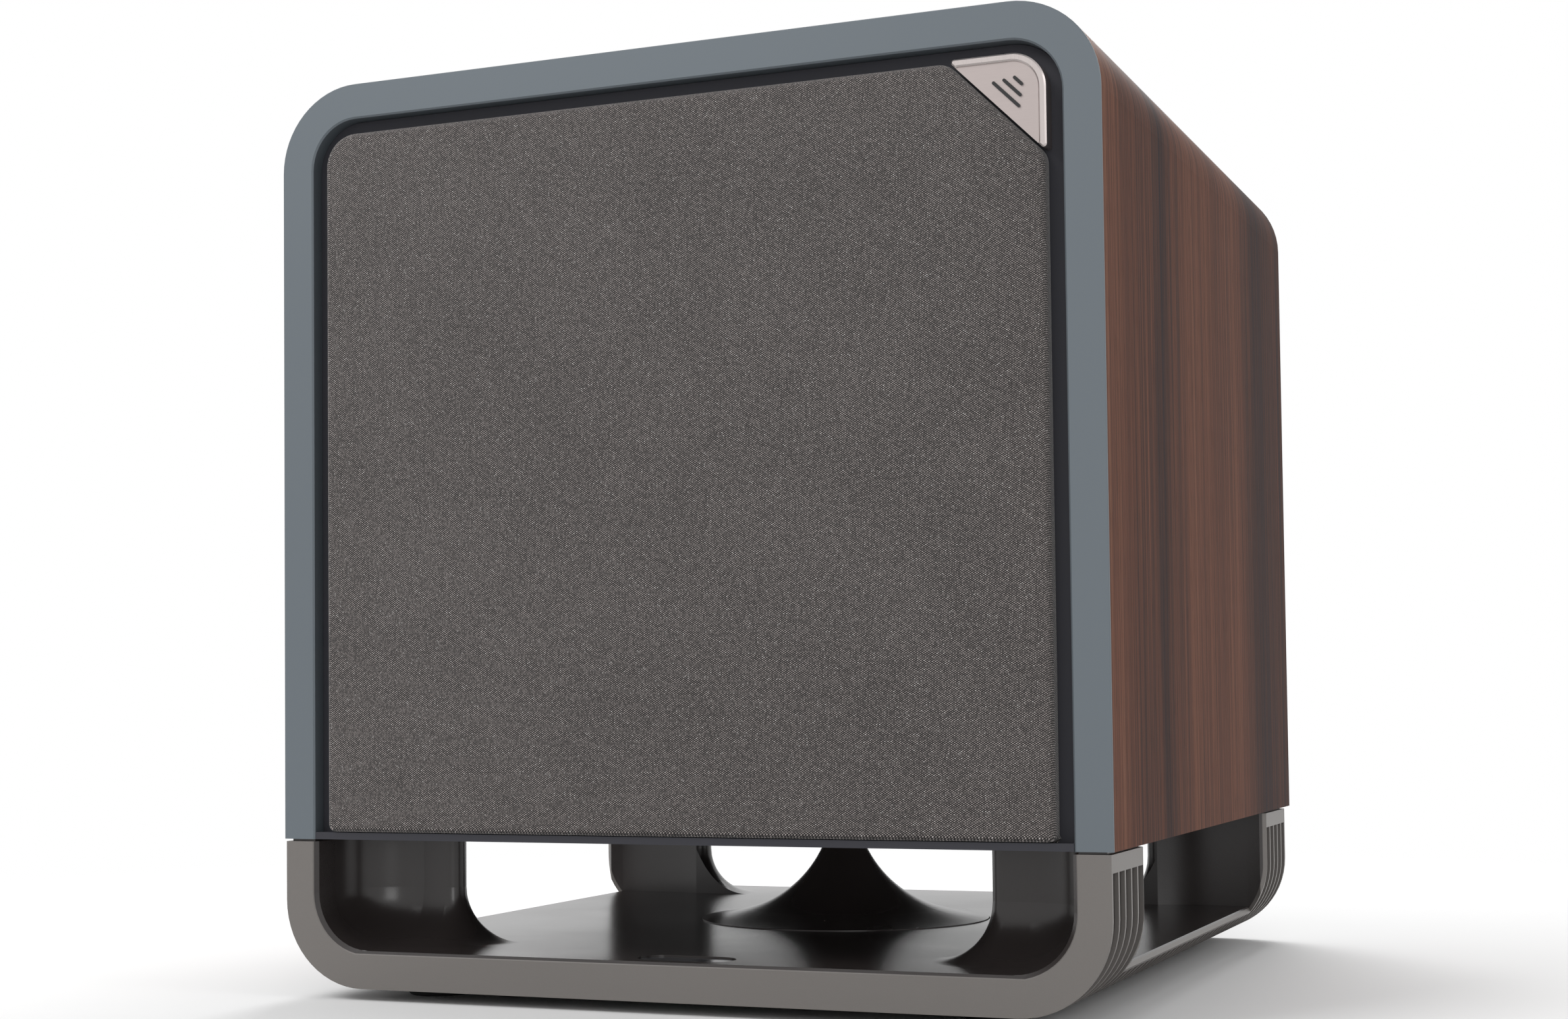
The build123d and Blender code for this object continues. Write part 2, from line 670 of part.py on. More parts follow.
def top_plate():
    return lathe_deep(ring(COIL_R + WINDING_T + COIL_GAP, TOP_PLATE_R, MOTOR_Y, MAGNET_Y), 0, DRIVER_Z)


def magnet():
    body = lathe_deep(ring(MAGNET_BORE_R, MAGNET_R, MAGNET_Y, YOKE_Y), 0, DRIVER_Z)
    rims = [e for e in body.edges() if e.geom_type == GeomType.CIRCLE and e.radius > MAGNET_R - 1]
    return chamfer(rims, 1.5)


def pole_yoke():
    profile = ring(POLE_VENT_R, TOP_PLATE_R, YOKE_Y, YOKE_Y + YOKE_T)
    profile += ring(POLE_VENT_R, POLE_R, MOTOR_Y, YOKE_Y)
    return lathe_deep(profile, 0, DRIVER_Z)


def terminal_board():
    z = DRIVER_Z - SHELF_R + 10
    back = SHELF_Y + SHEET_T
    return block((-13, 13), (back, back + 2.5), (z - 7, z + 7))


def terminal_tabs():
    z = DRIVER_Z - SHELF_R + 10
    back = SHELF_Y + SHEET_T + 2.5
    tabs = []
    for x in (-7.0, 7.0):
        tab = block((x - 2.4, x + 2.4), (back, back + 0.8), (z - 5, z + 5))
        tab += block((x - 2.4, x + 2.4), (back + 0.8, back + 9), (z - 5, z - 4.2))
        tabs.append(tab)
    return tabs


def woofer_screws():
    head = FLANGE_Y - SURROUND_T - GASKET_T
    length = SEAT_Y + 7.0 - head
    one = Rot(90, 0, 0) * screw(4.2, 2.6, 2.0, length)
    return [Pos(x, head, z) * one for x, z in driver_screw_places()]


# ---------------------------------------------------------------- port
def port_screw_places():
    return around(PORT_SCREWS, PORT_FLANGE_R - 4.5, 0, PORT_Y, 45)


def port_tube():
    low = CABINET_Z
    high = CABINET_Z + PORT_LENGTH
    bore = PORT_BORE_R
    wall = PORT_WALL
    diag = 1 - math.sqrt(0.5)
    mouth = bore + MOUTH_FLARE
    inner = bore + INNER_FLARE
    path = [
        Line((mouth, low), (PORT_FLANGE_R, low)),
        Line((PORT_FLANGE_R, low), (PORT_FLANGE_R, low + wall)),
        Line((PORT_FLANGE_R, low + wall), (mouth, low + wall)),
        ThreePointArc(
            (mouth, low + wall),
            (bore + wall + (MOUTH_FLARE - wall) * diag, low + wall + (MOUTH_FLARE - wall) * diag),
            (bore + wall, low + MOUTH_FLARE),
        ),
        Line((bore + wall, low + MOUTH_FLARE), (bore + wall, high - INNER_FLARE)),
        ThreePointArc(
            (bore + wall, high - INNER_FLARE),
            (bore + wall + (INNER_FLARE - wall) * diag, high - wall - (INNER_FLARE - wall) * diag),
            (inner, high - wall),
        ),
        Line((inner, high - wall), (inner, high)),
        ThreePointArc(
            (inner, high),
            (bore + INNER_FLARE * diag, high - INNER_FLARE * diag),
            (bore, high - INNER_FLARE),
        ),
        Line((bore, high - INNER_FLARE), (bore, low + MOUTH_FLARE)),
        ThreePointArc(
            (bore, low + MOUTH_FLARE),
            (bore + MOUTH_FLARE * diag, low + MOUTH_FLARE * diag),
            (mouth, low),
        ),
    ]
    tube = lathe(make_face(path), 0, PORT_Y)
    for x, y in port_screw_places():
        tube -= post(2.0, x, y, low, low + wall)
    return tube


def port_screws():
    one = Rot(180, 0, 0) * screw(3.6, 2.2, 1.8, 13)
    return [Pos(x, y, CABINET_Z) * one for x, y in port_screw_places()]


# ---------------------------------------------------------------- base
def mirror_corners(x, y):
    """The same place at all four corners of the base."""
    return [(sx * x, y if front else BASE_DEPTH - y) for sx in (-1, 1) for front in (True, False)]


def leg_screw_places():
    return mirror_corners(BASE_SIDE - LEG_SCREW_X, LEG_SCREW_Y)


def foot_places():
    return mirror_corners(FOOT_X, FOOT_Y)


def base_section(inset=0.0, low=FOOT_HEIGHT, high=BASE_TOP):
    """Cross-section of the base: straight sides with rounded lower corners."""
    face = Pos(0, (low + inset + high) / 2) * Rectangle(2 * (BASE_SIDE - inset), high - low - inset)
    return fillet(face.vertices().group_by(Axis.Y)[0], BASE_R - inset)


def leg_plan():
    """Plan of the front right leg: a side wall, a swept corner and a fin that comes in."""
    wall = BASE_SIDE - LEG_WALL
    fin_front = LEG_DEPTH - FIN_T
    end = BASE_SIDE - LEG_REACH + FIN_T / 2
    sweep_x = wall - FIN_SWEEP_R
    sweep_y = fin_front - FIN_SWEEP_R
    diag = FIN_SWEEP_R * math.sqrt(0.5)
    corner = BASE_SIDE - LEG_CHAMFER
    path = [
        Line((BASE_SIDE, 0), (wall, 0)),
        Line((wall, 0), (wall, sweep_y)),
        ThreePointArc((wall, sweep_y), (sweep_x + diag, sweep_y + diag), (sweep_x, fin_front)),
        Line((sweep_x, fin_front), (end, fin_front)),
        ThreePointArc((end, fin_front), (end - FIN_T / 2, LEG_DEPTH - FIN_T / 2), (end, LEG_DEPTH)),
        ThreePointArc((end, LEG_DEPTH), ((end + corner) / 2, LEG_DEPTH - FIN_HOLLOW), (corner, LEG_DEPTH)),
        Line((corner, LEG_DEPTH), (BASE_SIDE, LEG_DEPTH - LEG_CHAMFER)),
        Line((BASE_SIDE, LEG_DEPTH - LEG_CHAMFER), (BASE_SIDE, 0)),
    ]
    return make_face(path)


def groove_section():
    """Front-view cutter for one groove down the right side and round the lower corner."""
    outer = BASE_R + 8
    inner = BASE_R - GROOVE_DEPTH
    centre = Pos(BASE_ARC_X, BASE_ARC_Z)
    wedge = outline([
        (0, 0),
        (3 * outer, 0),
        (3 * outer, -3 * outer * math.tan(math.radians(GROOVE_END))),
    ])
    around_corner = centre * ((Circle(outer) - Circle(inner)) & wedge)
    top = BASE_TOP - GROOVE_TOP
    up = Rectangle(outer - inner, top - BASE_ARC_Z)
    return around_corner + Pos(BASE_ARC_X + (inner + outer) / 2, (BASE_ARC_Z + top) / 2) * up


def horn(wall, sign, bury=2.0):
    """Section of the concave run-out from a wall into the plate, FLARE_R wide and high."""
    toe = wall + sign * FLARE_R
    back = wall - sign * bury
    bend = FLARE_R * (1 - math.sqrt(0.5))
    low = PLATE_TOP - LEG_ROOT
    high = PLATE_TOP + FLARE_R
    return make_face([
        Line((back, low), (toe, low)),
        Line((toe, low), (toe, PLATE_TOP)),
        ThreePointArc((toe, PLATE_TOP), (wall + sign * bend, PLATE_TOP + bend), (wall, high)),
        Line((wall, high), (back, high)),
        Line((back, high), (back, low)),
    ])


def leg():
    """The front right leg, which runs out into the plate like a horn."""
    wall = BASE_SIDE - LEG_WALL
    fin_front = LEG_DEPTH - FIN_T
    end_x = BASE_SIDE - LEG_REACH + FIN_T / 2
    sweep_x = wall - FIN_SWEEP_R
    sweep_y = fin_front - FIN_SWEEP_R
    body = deck(leg_plan(), PLATE_TOP - LEG_ROOT, BASE_TOP)
    body += slab(horn(wall, -1), 0, sweep_y)
    body += Pos(end_x, 0, 0) * extrude(Plane.YZ * horn(fin_front, -1), amount=sweep_x - end_x)
    bowl = lathe(horn(FIN_SWEEP_R, -1), sweep_x, sweep_y)
    body += bowl & block((sweep_x, BASE_SIDE), (sweep_y, LEG_DEPTH), (0, BASE_TOP))
    tip = lathe(horn(FIN_T / 2, 1, FIN_T / 2), end_x, LEG_DEPTH - FIN_T / 2)
    body += tip & block((0, end_x), (0, LEG_DEPTH), (0, BASE_TOP))
    body &= slab(base_section(), 0, LEG_DEPTH)
    rim = [
        e
        for e in body.edges().filter_by_position(Axis.Y, -0.01, 0.01)
        if e.center().X < BASE_SIDE - LEG_WALL + 0.1 and e.center().Z > PLATE_TOP + 0.1
    ]
    return chamfer(rim, RIM_BEVEL)


def under_side():
    """The hollow under the plate, with ribs and bosses left standing."""
    side = BASE_ARC_X - 4
    low = FOOT_HEIGHT
    high = PLATE_TOP - SKIN_T
    middle = BASE_DEPTH / 2
    hollow = block((-side, side), (HOLLOW_EDGE, BASE_DEPTH - HOLLOW_EDGE), (low - 1, high))
    for x in (-95.0, 0.0, 95.0):
        hollow -= block((x - RIB_T / 2, x + RIB_T / 2), (0, BASE_DEPTH), (low, high))
    for y in (-110.0, 0.0, 110.0):
        hollow -= block((-side, side), (middle + y - RIB_T / 2, middle + y + RIB_T / 2), (low, high))
    for x, y in foot_places():
        hollow -= post(BOSS_R, x, y, low, high)
    for x, y in diffuser_screw_places():
        hollow -= post(6.0, x, y, low, high)
    return hollow + block((-30, 30), (HOLLOW_EDGE, LENS_Y + 16), (low - 1, high))


def diffuser_screw_places():
    return around(3, DIFFUSER_R * 0.62, 0, PORT_Y, 90)


def grooves():
    """Every groove cutter down both sides of the base; between the legs they stop below the edge."""
    count = round(BASE_DEPTH / GROOVE_PITCH)
    pitch = (BASE_DEPTH - GROOVE_FIN) / count
    width = pitch - GROOVE_FIN
    tall = slab(groove_section(), 0, width)
    edge = PLATE_TOP - EDGE_BEVEL - 0.5
    low = tall & block((0, WIDTH), (0, width), (-WIDTH, edge))
    cutters = []
    for i in range(count):
        at = GROOVE_FIN + i * pitch
        between = LEG_DEPTH < at + width and at < BASE_DEPTH - LEG_DEPTH
        one = Pos(0, at, 0) * (low if between else tall)
        cutters += [one, mirror(one, Plane.YZ)]
    return cutters


def base_frame():
    low_part = Pos(0, PLATE_TOP / 2) * Rectangle(WIDTH, PLATE_TOP)
    base = slab(base_section() & low_part, 0, BASE_DEPTH)
    top_edges = base.edges().filter_by_position(Axis.Z, PLATE_TOP - 0.01, PLATE_TOP + 0.01)
    base = chamfer(top_edges.filter_by(Axis.X), 1.5)
    top_edges = base.edges().filter_by_position(Axis.Z, PLATE_TOP - 0.01, PLATE_TOP + 0.01)
    base = chamfer(top_edges.filter_by(Axis.Y), EDGE_BEVEL)
    one = leg()
    middle = Plane(origin=(0, BASE_DEPTH / 2, 0), z_dir=(0, 1, 0))
    for hand in (one, mirror(one, Plane.YZ)):
        base += hand
        base += mirror(hand, middle)
    pad = deck(offset(leg_plan(), -PAD_INSET, kind=Kind.INTERSECTION), BASE_TOP - 1, CABINET_Z)
    for hand in (pad, mirror(pad, Plane.YZ)):
        base += hand
        base += mirror(hand, middle)
    base -= under_side()
    base -= grooves()
    base -= deck(lens_outline(0), PLATE_TOP - LENS_T, PLATE_TOP + 1)
    base -= deck(Pos(0, LENS_Y) * SlotOverall(LENS_LENGTH - 8, LENS_WIDTH - 9), 0, PLATE_TOP)
    base -= post(DIFFUSER_R + DIFFUSER_SEAM, 0, PORT_Y, PLATE_TOP - DIFFUSER_T, PLATE_TOP + 1)
    for x, y in diffuser_screw_places():
        base -= post(3.5, x, y, 0, PLATE_TOP - SKIN_T)
        base -= post(2.0, x, y, 0, PLATE_TOP)
    for x, y in leg_screw_places():
        base -= post(LEG_SCREW_BORE, x, y, 0, LEG_SCREW_SEAT)
        base -= post(2.2 + PILOT, x, y, 0, CABINET_Z)
    for x, y in foot_places():
        base -= post(1.8 + PILOT, x, y, 0, FOOT_HEIGHT + 9)
    return base


def lens_outline(inset):
    return Pos(0, LENS_Y) * SlotOverall(LENS_LENGTH - 2 * inset, LENS_WIDTH - 2 * inset)


def status_light_lens():
    top = PLATE_TOP - 0.6
    lens = deck(lens_outline(FIT), PLATE_TOP - LENS_T, top)
    return chamfer(lens.edges().group_by(Axis.Z)[-1], 0.5)


def status_light_board():
    """A small board under the plate, whose lamps stand up in the slot below the lens."""
    high = PLATE_TOP - SKIN_T
    board = block((-26, 26), (LENS_Y - 7.5, LENS_Y + 12), (high - PCB_T, high))
    deep = (LENS_Y - 1.6, LENS_Y + 1.6)
    lamps = [block((x - 2.5, x + 2.5), deep, (high, high + 1.2)) for x in (-10, 0, 10)]
    return [board] + lamps


def port_diffuser():
    """A low disc that sweeps up into a tip inside the port's mouth."""
    seat = PLATE_TOP - DIFFUSER_T
    rise = PLATE_TOP + 0.4
    sweep = ThreePointArc(
        (DIFFUSER_R * 0.66, PLATE_TOP + 5.0), (25.3, PLATE_TOP + 15.3), (11.6, PLATE_TOP + 32.0)
    )
    run_out = TangentArc(sweep @ 0, (DIFFUSER_R, rise), tangent=-(sweep % 0))
    crown = TangentArc(sweep @ 1, (7.4, DIFFUSER_TIP - 7.4), tangent=sweep % 1)
    nose = ThreePointArc(
        crown @ 1,
        (7.4 * math.sqrt(0.5), DIFFUSER_TIP - 7.4 + 7.4 * math.sqrt(0.5)),
        (0, DIFFUSER_TIP),
    )
    closing = Polyline((0, DIFFUSER_TIP), (0, seat), (DIFFUSER_R, seat), (DIFFUSER_R, rise))
    body = lathe(make_face([sweep, run_out, crown, nose, closing]), 0, PORT_Y)
    for x, y in diffuser_screw_places():
        body -= post(1.4 + PILOT, x, y, seat, PLATE_TOP + 5)
    return body


def diffuser_screws():
    low = PLATE_TOP - SKIN_T
    length = SKIN_T + 4.0
    one = Rot(180, 0, 0) * screw(3.2, 2.0, 1.4, length)
    return [Pos(x, y, low) * one for x, y in diffuser_screw_places()]


def base_screws():
    length = CABINET_Z + 13 - LEG_SCREW_SEAT
    one = Rot(180, 0, 0) * screw(LEG_SCREW_BORE - 0.3, 2.6, 2.2, length)
    return [Pos(x, y, LEG_SCREW_SEAT) * one for x, y in leg_screw_places()]


def feet():
    pads = []
    for x, y in foot_places():
        foot = post(FOOT_R, x, y, 0, FOOT_HEIGHT)
        foot = chamfer(foot.edges().sort_by(Axis.Z)[0], 1.2)
        foot -= post(4.6, x, y, 0, 2.6)
        foot -= post(1.8 + PILOT, x, y, 0, FOOT_HEIGHT)
        pads.append(foot)
    return pads


def feet_screws():
    return [Pos(x, y, 2.6) * Rot(180, 0, 0) * screw(4.0, 2.0, 1.8, 10.4) for x, y in foot_places()]


# ---------------------------------------------------------------- amplifier
def amp_screw_places():
    inset = AMP_BORDER / 2
    x = PLATE_WIDTH / 2 - inset
    z = PLATE_HEIGHT / 2 - inset
    step = 2 * z / (AMP_SCREWS_HIGH - 1)
    sides = [(sx * x, AMP_Z - z + i * step) for sx in (-1, 1) for i in range(AMP_SCREWS_HIGH)]
    return sides + [(0, AMP_Z + z), (0, AMP_Z - z)]


def knob_places():
    return {"volume": VOLUME_X, "low_pass": LOW_PASS_X}


def jack_places():
    return [JACKS_X + (i - 1) * JACK_PITCH for i in range(3)]


def switch_slot(x, z, travel):
    """The slot for a slide switch, wide enough for its lever and its travel."""
    return rounded(SWITCH_SLOT + travel, SWITCH_SLOT, x, z, 0.4)


def inlet_outline(extra):
    return rounded(INLET_WIDTH + 2 * extra, INLET_HEIGHT + 2 * extra, INLET_X, POWER_Z, 2)


def rocker_outline(extra):
    width = ROCKER_WIDTH + 3 + 2 * extra
    return rounded(width, ROCKER_HEIGHT + 5 + 2 * extra, ROCKER_X, POWER_Z, 1.5)


def amp_plate():
    plate = slab(rounded(PLATE_WIDTH, PLATE_HEIGHT, 0, AMP_Z, 6), AMP_FRONT, AMP_BACK)
    for x, z in amp_screw_places():
        plate -= rod(2.1, x, z, AMP_FRONT, AMP_BACK)
    for x in knob_places().values():
        plate -= rod(BUSHING_R + PILOT, x, CONTROL_Z, AMP_FRONT, AMP_BACK)
    for x in jack_places():
        plate -= rod(JACK_R + 1.3 + PILOT, x, JACK_Z, AMP_FRONT, AMP_BACK)
    plate -= slab(switch_slot(*MODE_SWITCH), AMP_FRONT, AMP_BACK)
    plate -= slab(switch_slot(*PHASE_SWITCH), AMP_FRONT, AMP_BACK)
    plate -= slab(inlet_outline(0), AMP_FRONT, AMP_BACK)
    plate -= slab(rocker_outline(0), AMP_FRONT, AMP_BACK)
    return plate


def amp_gasket():
    outer = rounded(PLATE_WIDTH, PLATE_HEIGHT, 0, AMP_Z, 6)
    inner = rounded(PLATE_WIDTH - 2 * AMP_BORDER, PLATE_HEIGHT - 2 * AMP_BORDER, 0, AMP_Z, 4)
    seal = slab(outer - inner, AMP_FRONT - AMP_GASKET_T, AMP_FRONT)
    for x, z in amp_screw_places():
        seal -= rod(2.1, x, z, AMP_FRONT - AMP_GASKET_T, AMP_FRONT)
    return seal


def amp_screws():
    length = AMP_BACK - REAR_FRONT - 1
    one = Rot(-90, 0, 0) * screw(3.8, 2.4, 1.8, length)
    return [Pos(x, AMP_BACK, z) * one for x, z in amp_screw_places()]


def heatsink():
    front = AMP_BACK
    sink = block(
        (-SINK_WIDTH / 2, SINK_WIDTH / 2),
        (front, front + SINK_BASE),
        (SINK_Z - SINK_HEIGHT / 2, SINK_Z + SINK_HEIGHT / 2),
    )
    pitch = (SINK_WIDTH - SINK_FIN_T) / (FIN_COUNT - 1)
    back = front + SINK_BASE + SINK_FIN_H
    for i in range(FIN_COUNT):
        x = -SINK_WIDTH / 2 + SINK_FIN_T / 2 + i * pitch
        fin = block(
            (x - SINK_FIN_T / 2, x + SINK_FIN_T / 2),
            (front + SINK_BASE, back),
            (SINK_Z - SINK_HEIGHT / 2, SINK_Z + SINK_HEIGHT / 2),
        )
        sink += chamfer(fin.edges().filter_by(Axis.Z).group_by(Axis.Y)[-1], 0.5)
    return sink


def amp_board():
    low = PCB_Z - PCB_HEIGHT / 2
    board = block((-PCB_WIDTH / 2, PCB_WIDTH / 2), (PCB_BACK - PCB_T, PCB_BACK), (low, low + PCB_HEIGHT))
    for x, z in standoff_places():
        board -= rod(1.6 + PILOT, x, z, PCB_BACK - PCB_T, PCB_BACK)
    board -= rod(3.2 + PILOT, TRANSFORMER_X, TRANSFORMER_Z, PCB_BACK - PCB_T, PCB_BACK)
    return board


def standoff_places():
    x = PCB_WIDTH / 2 - 8
    z = PCB_HEIGHT / 2 - 6
    return [(sx * x, PCB_Z + sz * z) for sx in (-1, 1) for sz in (-1, 1)]


def board_standoffs():
    return [rod(3.2, x, z, PCB_BACK, AMP_FRONT) for x, z in standoff_places()]


def board_screws():
    front = PCB_BACK - PCB_T
    return [Pos(x, front, z) * Rot(90, 0, 0) * screw(3.0, 2.0, 1.6, PCB_T) for x, z in standoff_places()]


def transformer():
    back = PCB_BACK - PCB_T
    profile = ring(TRANSFORMER_BORE_R, TRANSFORMER_R, back - TRANSFORMER_T, back)
    return lathe_deep(fillet(profile.vertices(), 7), TRANSFORMER_X, TRANSFORMER_Z)


def transformer_clamp():
    """A dished washer and its bolt, which hold the transformer to the board."""
    front = PCB_BACK - PCB_T - TRANSFORMER_T
    x, z = TRANSFORMER_X, TRANSFORMER_Z
    washer = rod(26, x, z, front - 1.5, front)
    bolt = rod(3.2, x, z, front - 1.5, PCB_BACK + 3)
    head = slab(Pos(x, z) * RegularPolygon(6, 6), front - 6, front - 1.5)
    return washer + bolt + head


def filter_capacitors():
    back = PCB_BACK - PCB_T
    cans = []
    for z in (PCB_Z - 55, PCB_Z - 18):
        can = rod(15, 48, z, back - 40, back)
        cans.append(fillet(can.edges().sort_by(Axis.Y)[0], 1.5))
    return cans


def power_transistors():
    spots = [(x, SINK_Z + 20) for x in (-54, -18, 18, 54)]
    return [block((x - 8, x + 8), (AMP_FRONT - 5, AMP_FRONT), (z - 10, z + 10)) for x, z in spots]


def control_pot(name):
    x = knob_places()[name]
    body = block((x - 8, x + 8), (PCB_BACK, AMP_FRONT), (CONTROL_Z - 8, CONTROL_Z + 8))
    body += rod(BUSHING_R, x, CONTROL_Z, AMP_FRONT, AMP_BACK + BUSHING_PROUD)
    return body - rod(SHAFT_R + RUNNING, x, CONTROL_Z, PCB_BACK + 3, AMP_BACK + BUSHING_PROUD)


def pot_shaft(name):
    x = knob_places()[name]
    return rod(SHAFT_R, x, CONTROL_Z, PCB_BACK + 3.5, AMP_BACK + KNOB_PROUD - 2.5)


def pot_nut(name):
    x = knob_places()[name]
    nut = slab(Pos(x, CONTROL_Z) * RegularPolygon(6.4, 6), AMP_BACK, AMP_BACK + 2.4)
    return nut - rod(BUSHING_R, x, CONTROL_Z, AMP_BACK, AMP_BACK + 2.4)


def knob(name):
    """A ridged knob, hollow at the back to clear the nut, with a pointer ridge on its cap."""
    x = knob_places()[name]
    front = AMP_BACK + KNOB_AIR
    back = AMP_BACK + KNOB_PROUD
    body = rod(KNOB_R, x, CONTROL_Z, front, back)
    body = fillet(body.edges().group_by(Axis.Y)[-1], 1.6)
    for px, pz in around(KNOB_RIDGES, KNOB_R + 0.5, x, CONTROL_Z, 360 / KNOB_RIDGES / 2):
        body -= rod(1.0, px, pz, front + 2.5, back)
    body -= rod(KNOB_CAVITY_R, x, CONTROL_Z, front, AMP_BACK + BUSHING_PROUD + 1)
    body -= rod(SHAFT_R, x, CONTROL_Z, front, back - 2.5)
    return body - block((x - 0.6, x + 0.6), (back - 0.5, back + 1), (CONTROL_Z + 2.5, CONTROL_Z + KNOB_R))


def knob_pointer(name):
    x = knob_places()[name]
    back = AMP_BACK + KNOB_PROUD
    return block((x - 0.6, x + 0.6), (back - 0.5, back - 0.1), (CONTROL_Z + 2.5, CONTROL_Z + KNOB_R - 2.0))


def jack_block():
    x = jack_places()
    body = block((x[0] - 11, x[-1] + 11), (PCB_BACK, AMP_FRONT), (JACK_Z - 9, JACK_Z + 9))
    for jack in x:
        body += rod(JACK_R + 1.3, jack, JACK_Z, AMP_FRONT, AMP_BACK + 1)
        body -= rod(JACK_R, jack, JACK_Z, AMP_FRONT - 6, AMP_BACK + 1)
    return body


def jack_shells():
    shells = []
    for x in jack_places():
        shell = rod(JACK_R, x, JACK_Z, AMP_FRONT - 6, AMP_BACK + 9)
        shell -= rod(JACK_R - 0.6, x, JACK_Z, AMP_FRONT - 5.4, AMP_BACK + 9)
        shell -= rod(2.6, x, JACK_Z, AMP_FRONT - 6, AMP_FRONT - 5)
        shells.append(shell)
    return shells


def jack_centres():
    centres = []
    for x in jack_places():
        centre = rod(2.6, x, JACK_Z, AMP_FRONT - 6, AMP_BACK + 7.5)
        centre -= rod(1.6, x, JACK_Z, AMP_BACK - 4, AMP_BACK + 7.5)
        centres.append(centre)
    return centres


def slide_body(x, z, travel):
    """A slide switch behind the plate, open where its lever runs."""
    half = (SWITCH_SLOT + travel) / 2
    body = block((x - half - 4, x + half + 4), (PCB_BACK, AMP_FRONT), (z - 5, z + 5))
    tall = (z - SWITCH_SLOT / 2, z + SWITCH_SLOT / 2)
    return body - block((x - half, x + half), (PCB_BACK + 4, AMP_FRONT), tall)


def slide_lever(x, z, travel):
    """The lever of a slide switch, resting at the low end of its travel."""
    at = x - travel / 2
    lever = block(
        (at - LEVER_T / 2, at + LEVER_T / 2),
        (PCB_BACK + 4.2, AMP_BACK + LEVER_PROUD),
        (z - LEVER_T / 2, z + LEVER_T / 2),
    )
    return chamfer(lever.edges().group_by(Axis.Y)[-1], 0.6)


def rocker_frame():
    frame = slab(rocker_outline(0), AMP_BACK - 20, AMP_BACK)
    frame += slab(rocker_outline(1.6), AMP_BACK, AMP_BACK + 1.6)
    half = ROCKER_WIDTH / 2 + 0.3
    reach = ROCKER_HEIGHT / 2 + 1.2
    wide = (ROCKER_X - half, ROCKER_X + half)
    return frame - block(wide, (AMP_BACK - 18, AMP_BACK + 2), (POWER_Z - reach, POWER_Z + reach))


def mains_rocker():
    """A rocker, tilted at rest so that its lower end is out."""
    half = ROCKER_HEIGHT / 2
    face = outline([(5.8, -half), (4.8, 0), (5.8, half), (-3.0, half - 1.8), (-3.0, 1.8 - half)])
    body = Pos(-ROCKER_WIDTH / 2, 0, 0) * extrude(Plane.YZ * face, amount=ROCKER_WIDTH)
    body -= Rot(0, 90, 0) * Cylinder(PIN_R + RUNNING, ROCKER_WIDTH)
    body = Rot(ROCKER_TILT, 0, 0) * body
    return Pos(ROCKER_X, ROCKER_PIVOT_Y, POWER_Z) * body


def rocker_pin():
    width = ROCKER_WIDTH + 0.6
    return Pos(ROCKER_X, ROCKER_PIVOT_Y, POWER_Z) * Rot(0, 90, 0) * Cylinder(PIN_R, width)


def mains_inlet():
    """An appliance inlet with a socket above and a bay for the fuse drawer below."""
    body = slab(inlet_outline(0), AMP_BACK - 24, AMP_BACK)
    body += slab(inlet_outline(2.2), AMP_BACK, AMP_BACK + 2)
    side, tall, notch = 11.5, 8.0, 4.5
    points = [
        (-side, -tall),
        (side, -tall),
        (side, tall - notch),
        (side - notch, tall),
        (notch - side, tall),
        (-side, tall - notch),
    ]
    at = Pos(INLET_X, SOCKET_Z)
    socket = slab(at * outline(points), AMP_BACK - 14, AMP_BACK + 2)
    core = slab(at * outline([(x * 0.78, z * 0.74) for x, z in points]), AMP_BACK - 14, AMP_BACK - 1)
    body = body - (socket - core)
    for x, z in pin_places():
        body -= rod(1.0, x, z, AMP_BACK - 24, AMP_BACK - 1)
    bay = block(
        (INLET_X - DRAWER_W / 2 - FIT, INLET_X + DRAWER_W / 2 + FIT),
        (AMP_BACK + 2 - DRAWER_DEPTH - 3, AMP_BACK + 2),
        (FUSE_Z - DRAWER_H / 2 - FIT, FUSE_Z + DRAWER_H / 2 + FIT),
    )
    return body - bay


def pin_places():
    return [(INLET_X - 5.5, SOCKET_Z - 1), (INLET_X + 5.5, SOCKET_Z - 1), (INLET_X, SOCKET_Z + 2.6)]


def inlet_contacts():
    return [rod(1.0, x, z, AMP_BACK - 28, AMP_BACK - 1) for x, z in pin_places()]


def fuse_drawer():
    back = AMP_BACK + 2.8
    drawer = block(
        (INLET_X - DRAWER_W / 2, INLET_X + DRAWER_W / 2),
        (AMP_BACK + 2 - DRAWER_DEPTH, back),
        (FUSE_Z - DRAWER_H / 2, FUSE_Z + DRAWER_H / 2),
    )
    drawer = chamfer(drawer.edges().group_by(Axis.Y)[-1], 0.4)
    drawer -= block(
        (INLET_X - 10.2, INLET_X + 10.2),
        (AMP_BACK - 8, AMP_BACK - 1),
        (FUSE_Z - 2.6, FUSE_Z + DRAWER_H),
    )
    return drawer - block((INLET_X - 4, INLET_X + 4), (back - 0.5, back), (FUSE_Z - 1, FUSE_Z + 1))


def fuse():
    """A glass fuse that lies in the drawer."""
    at = Pos(INLET_X, AMP_BACK - 4.5, FUSE_Z) * Rot(0, 90, 0)
    return at * Cylinder(2.6, 20)


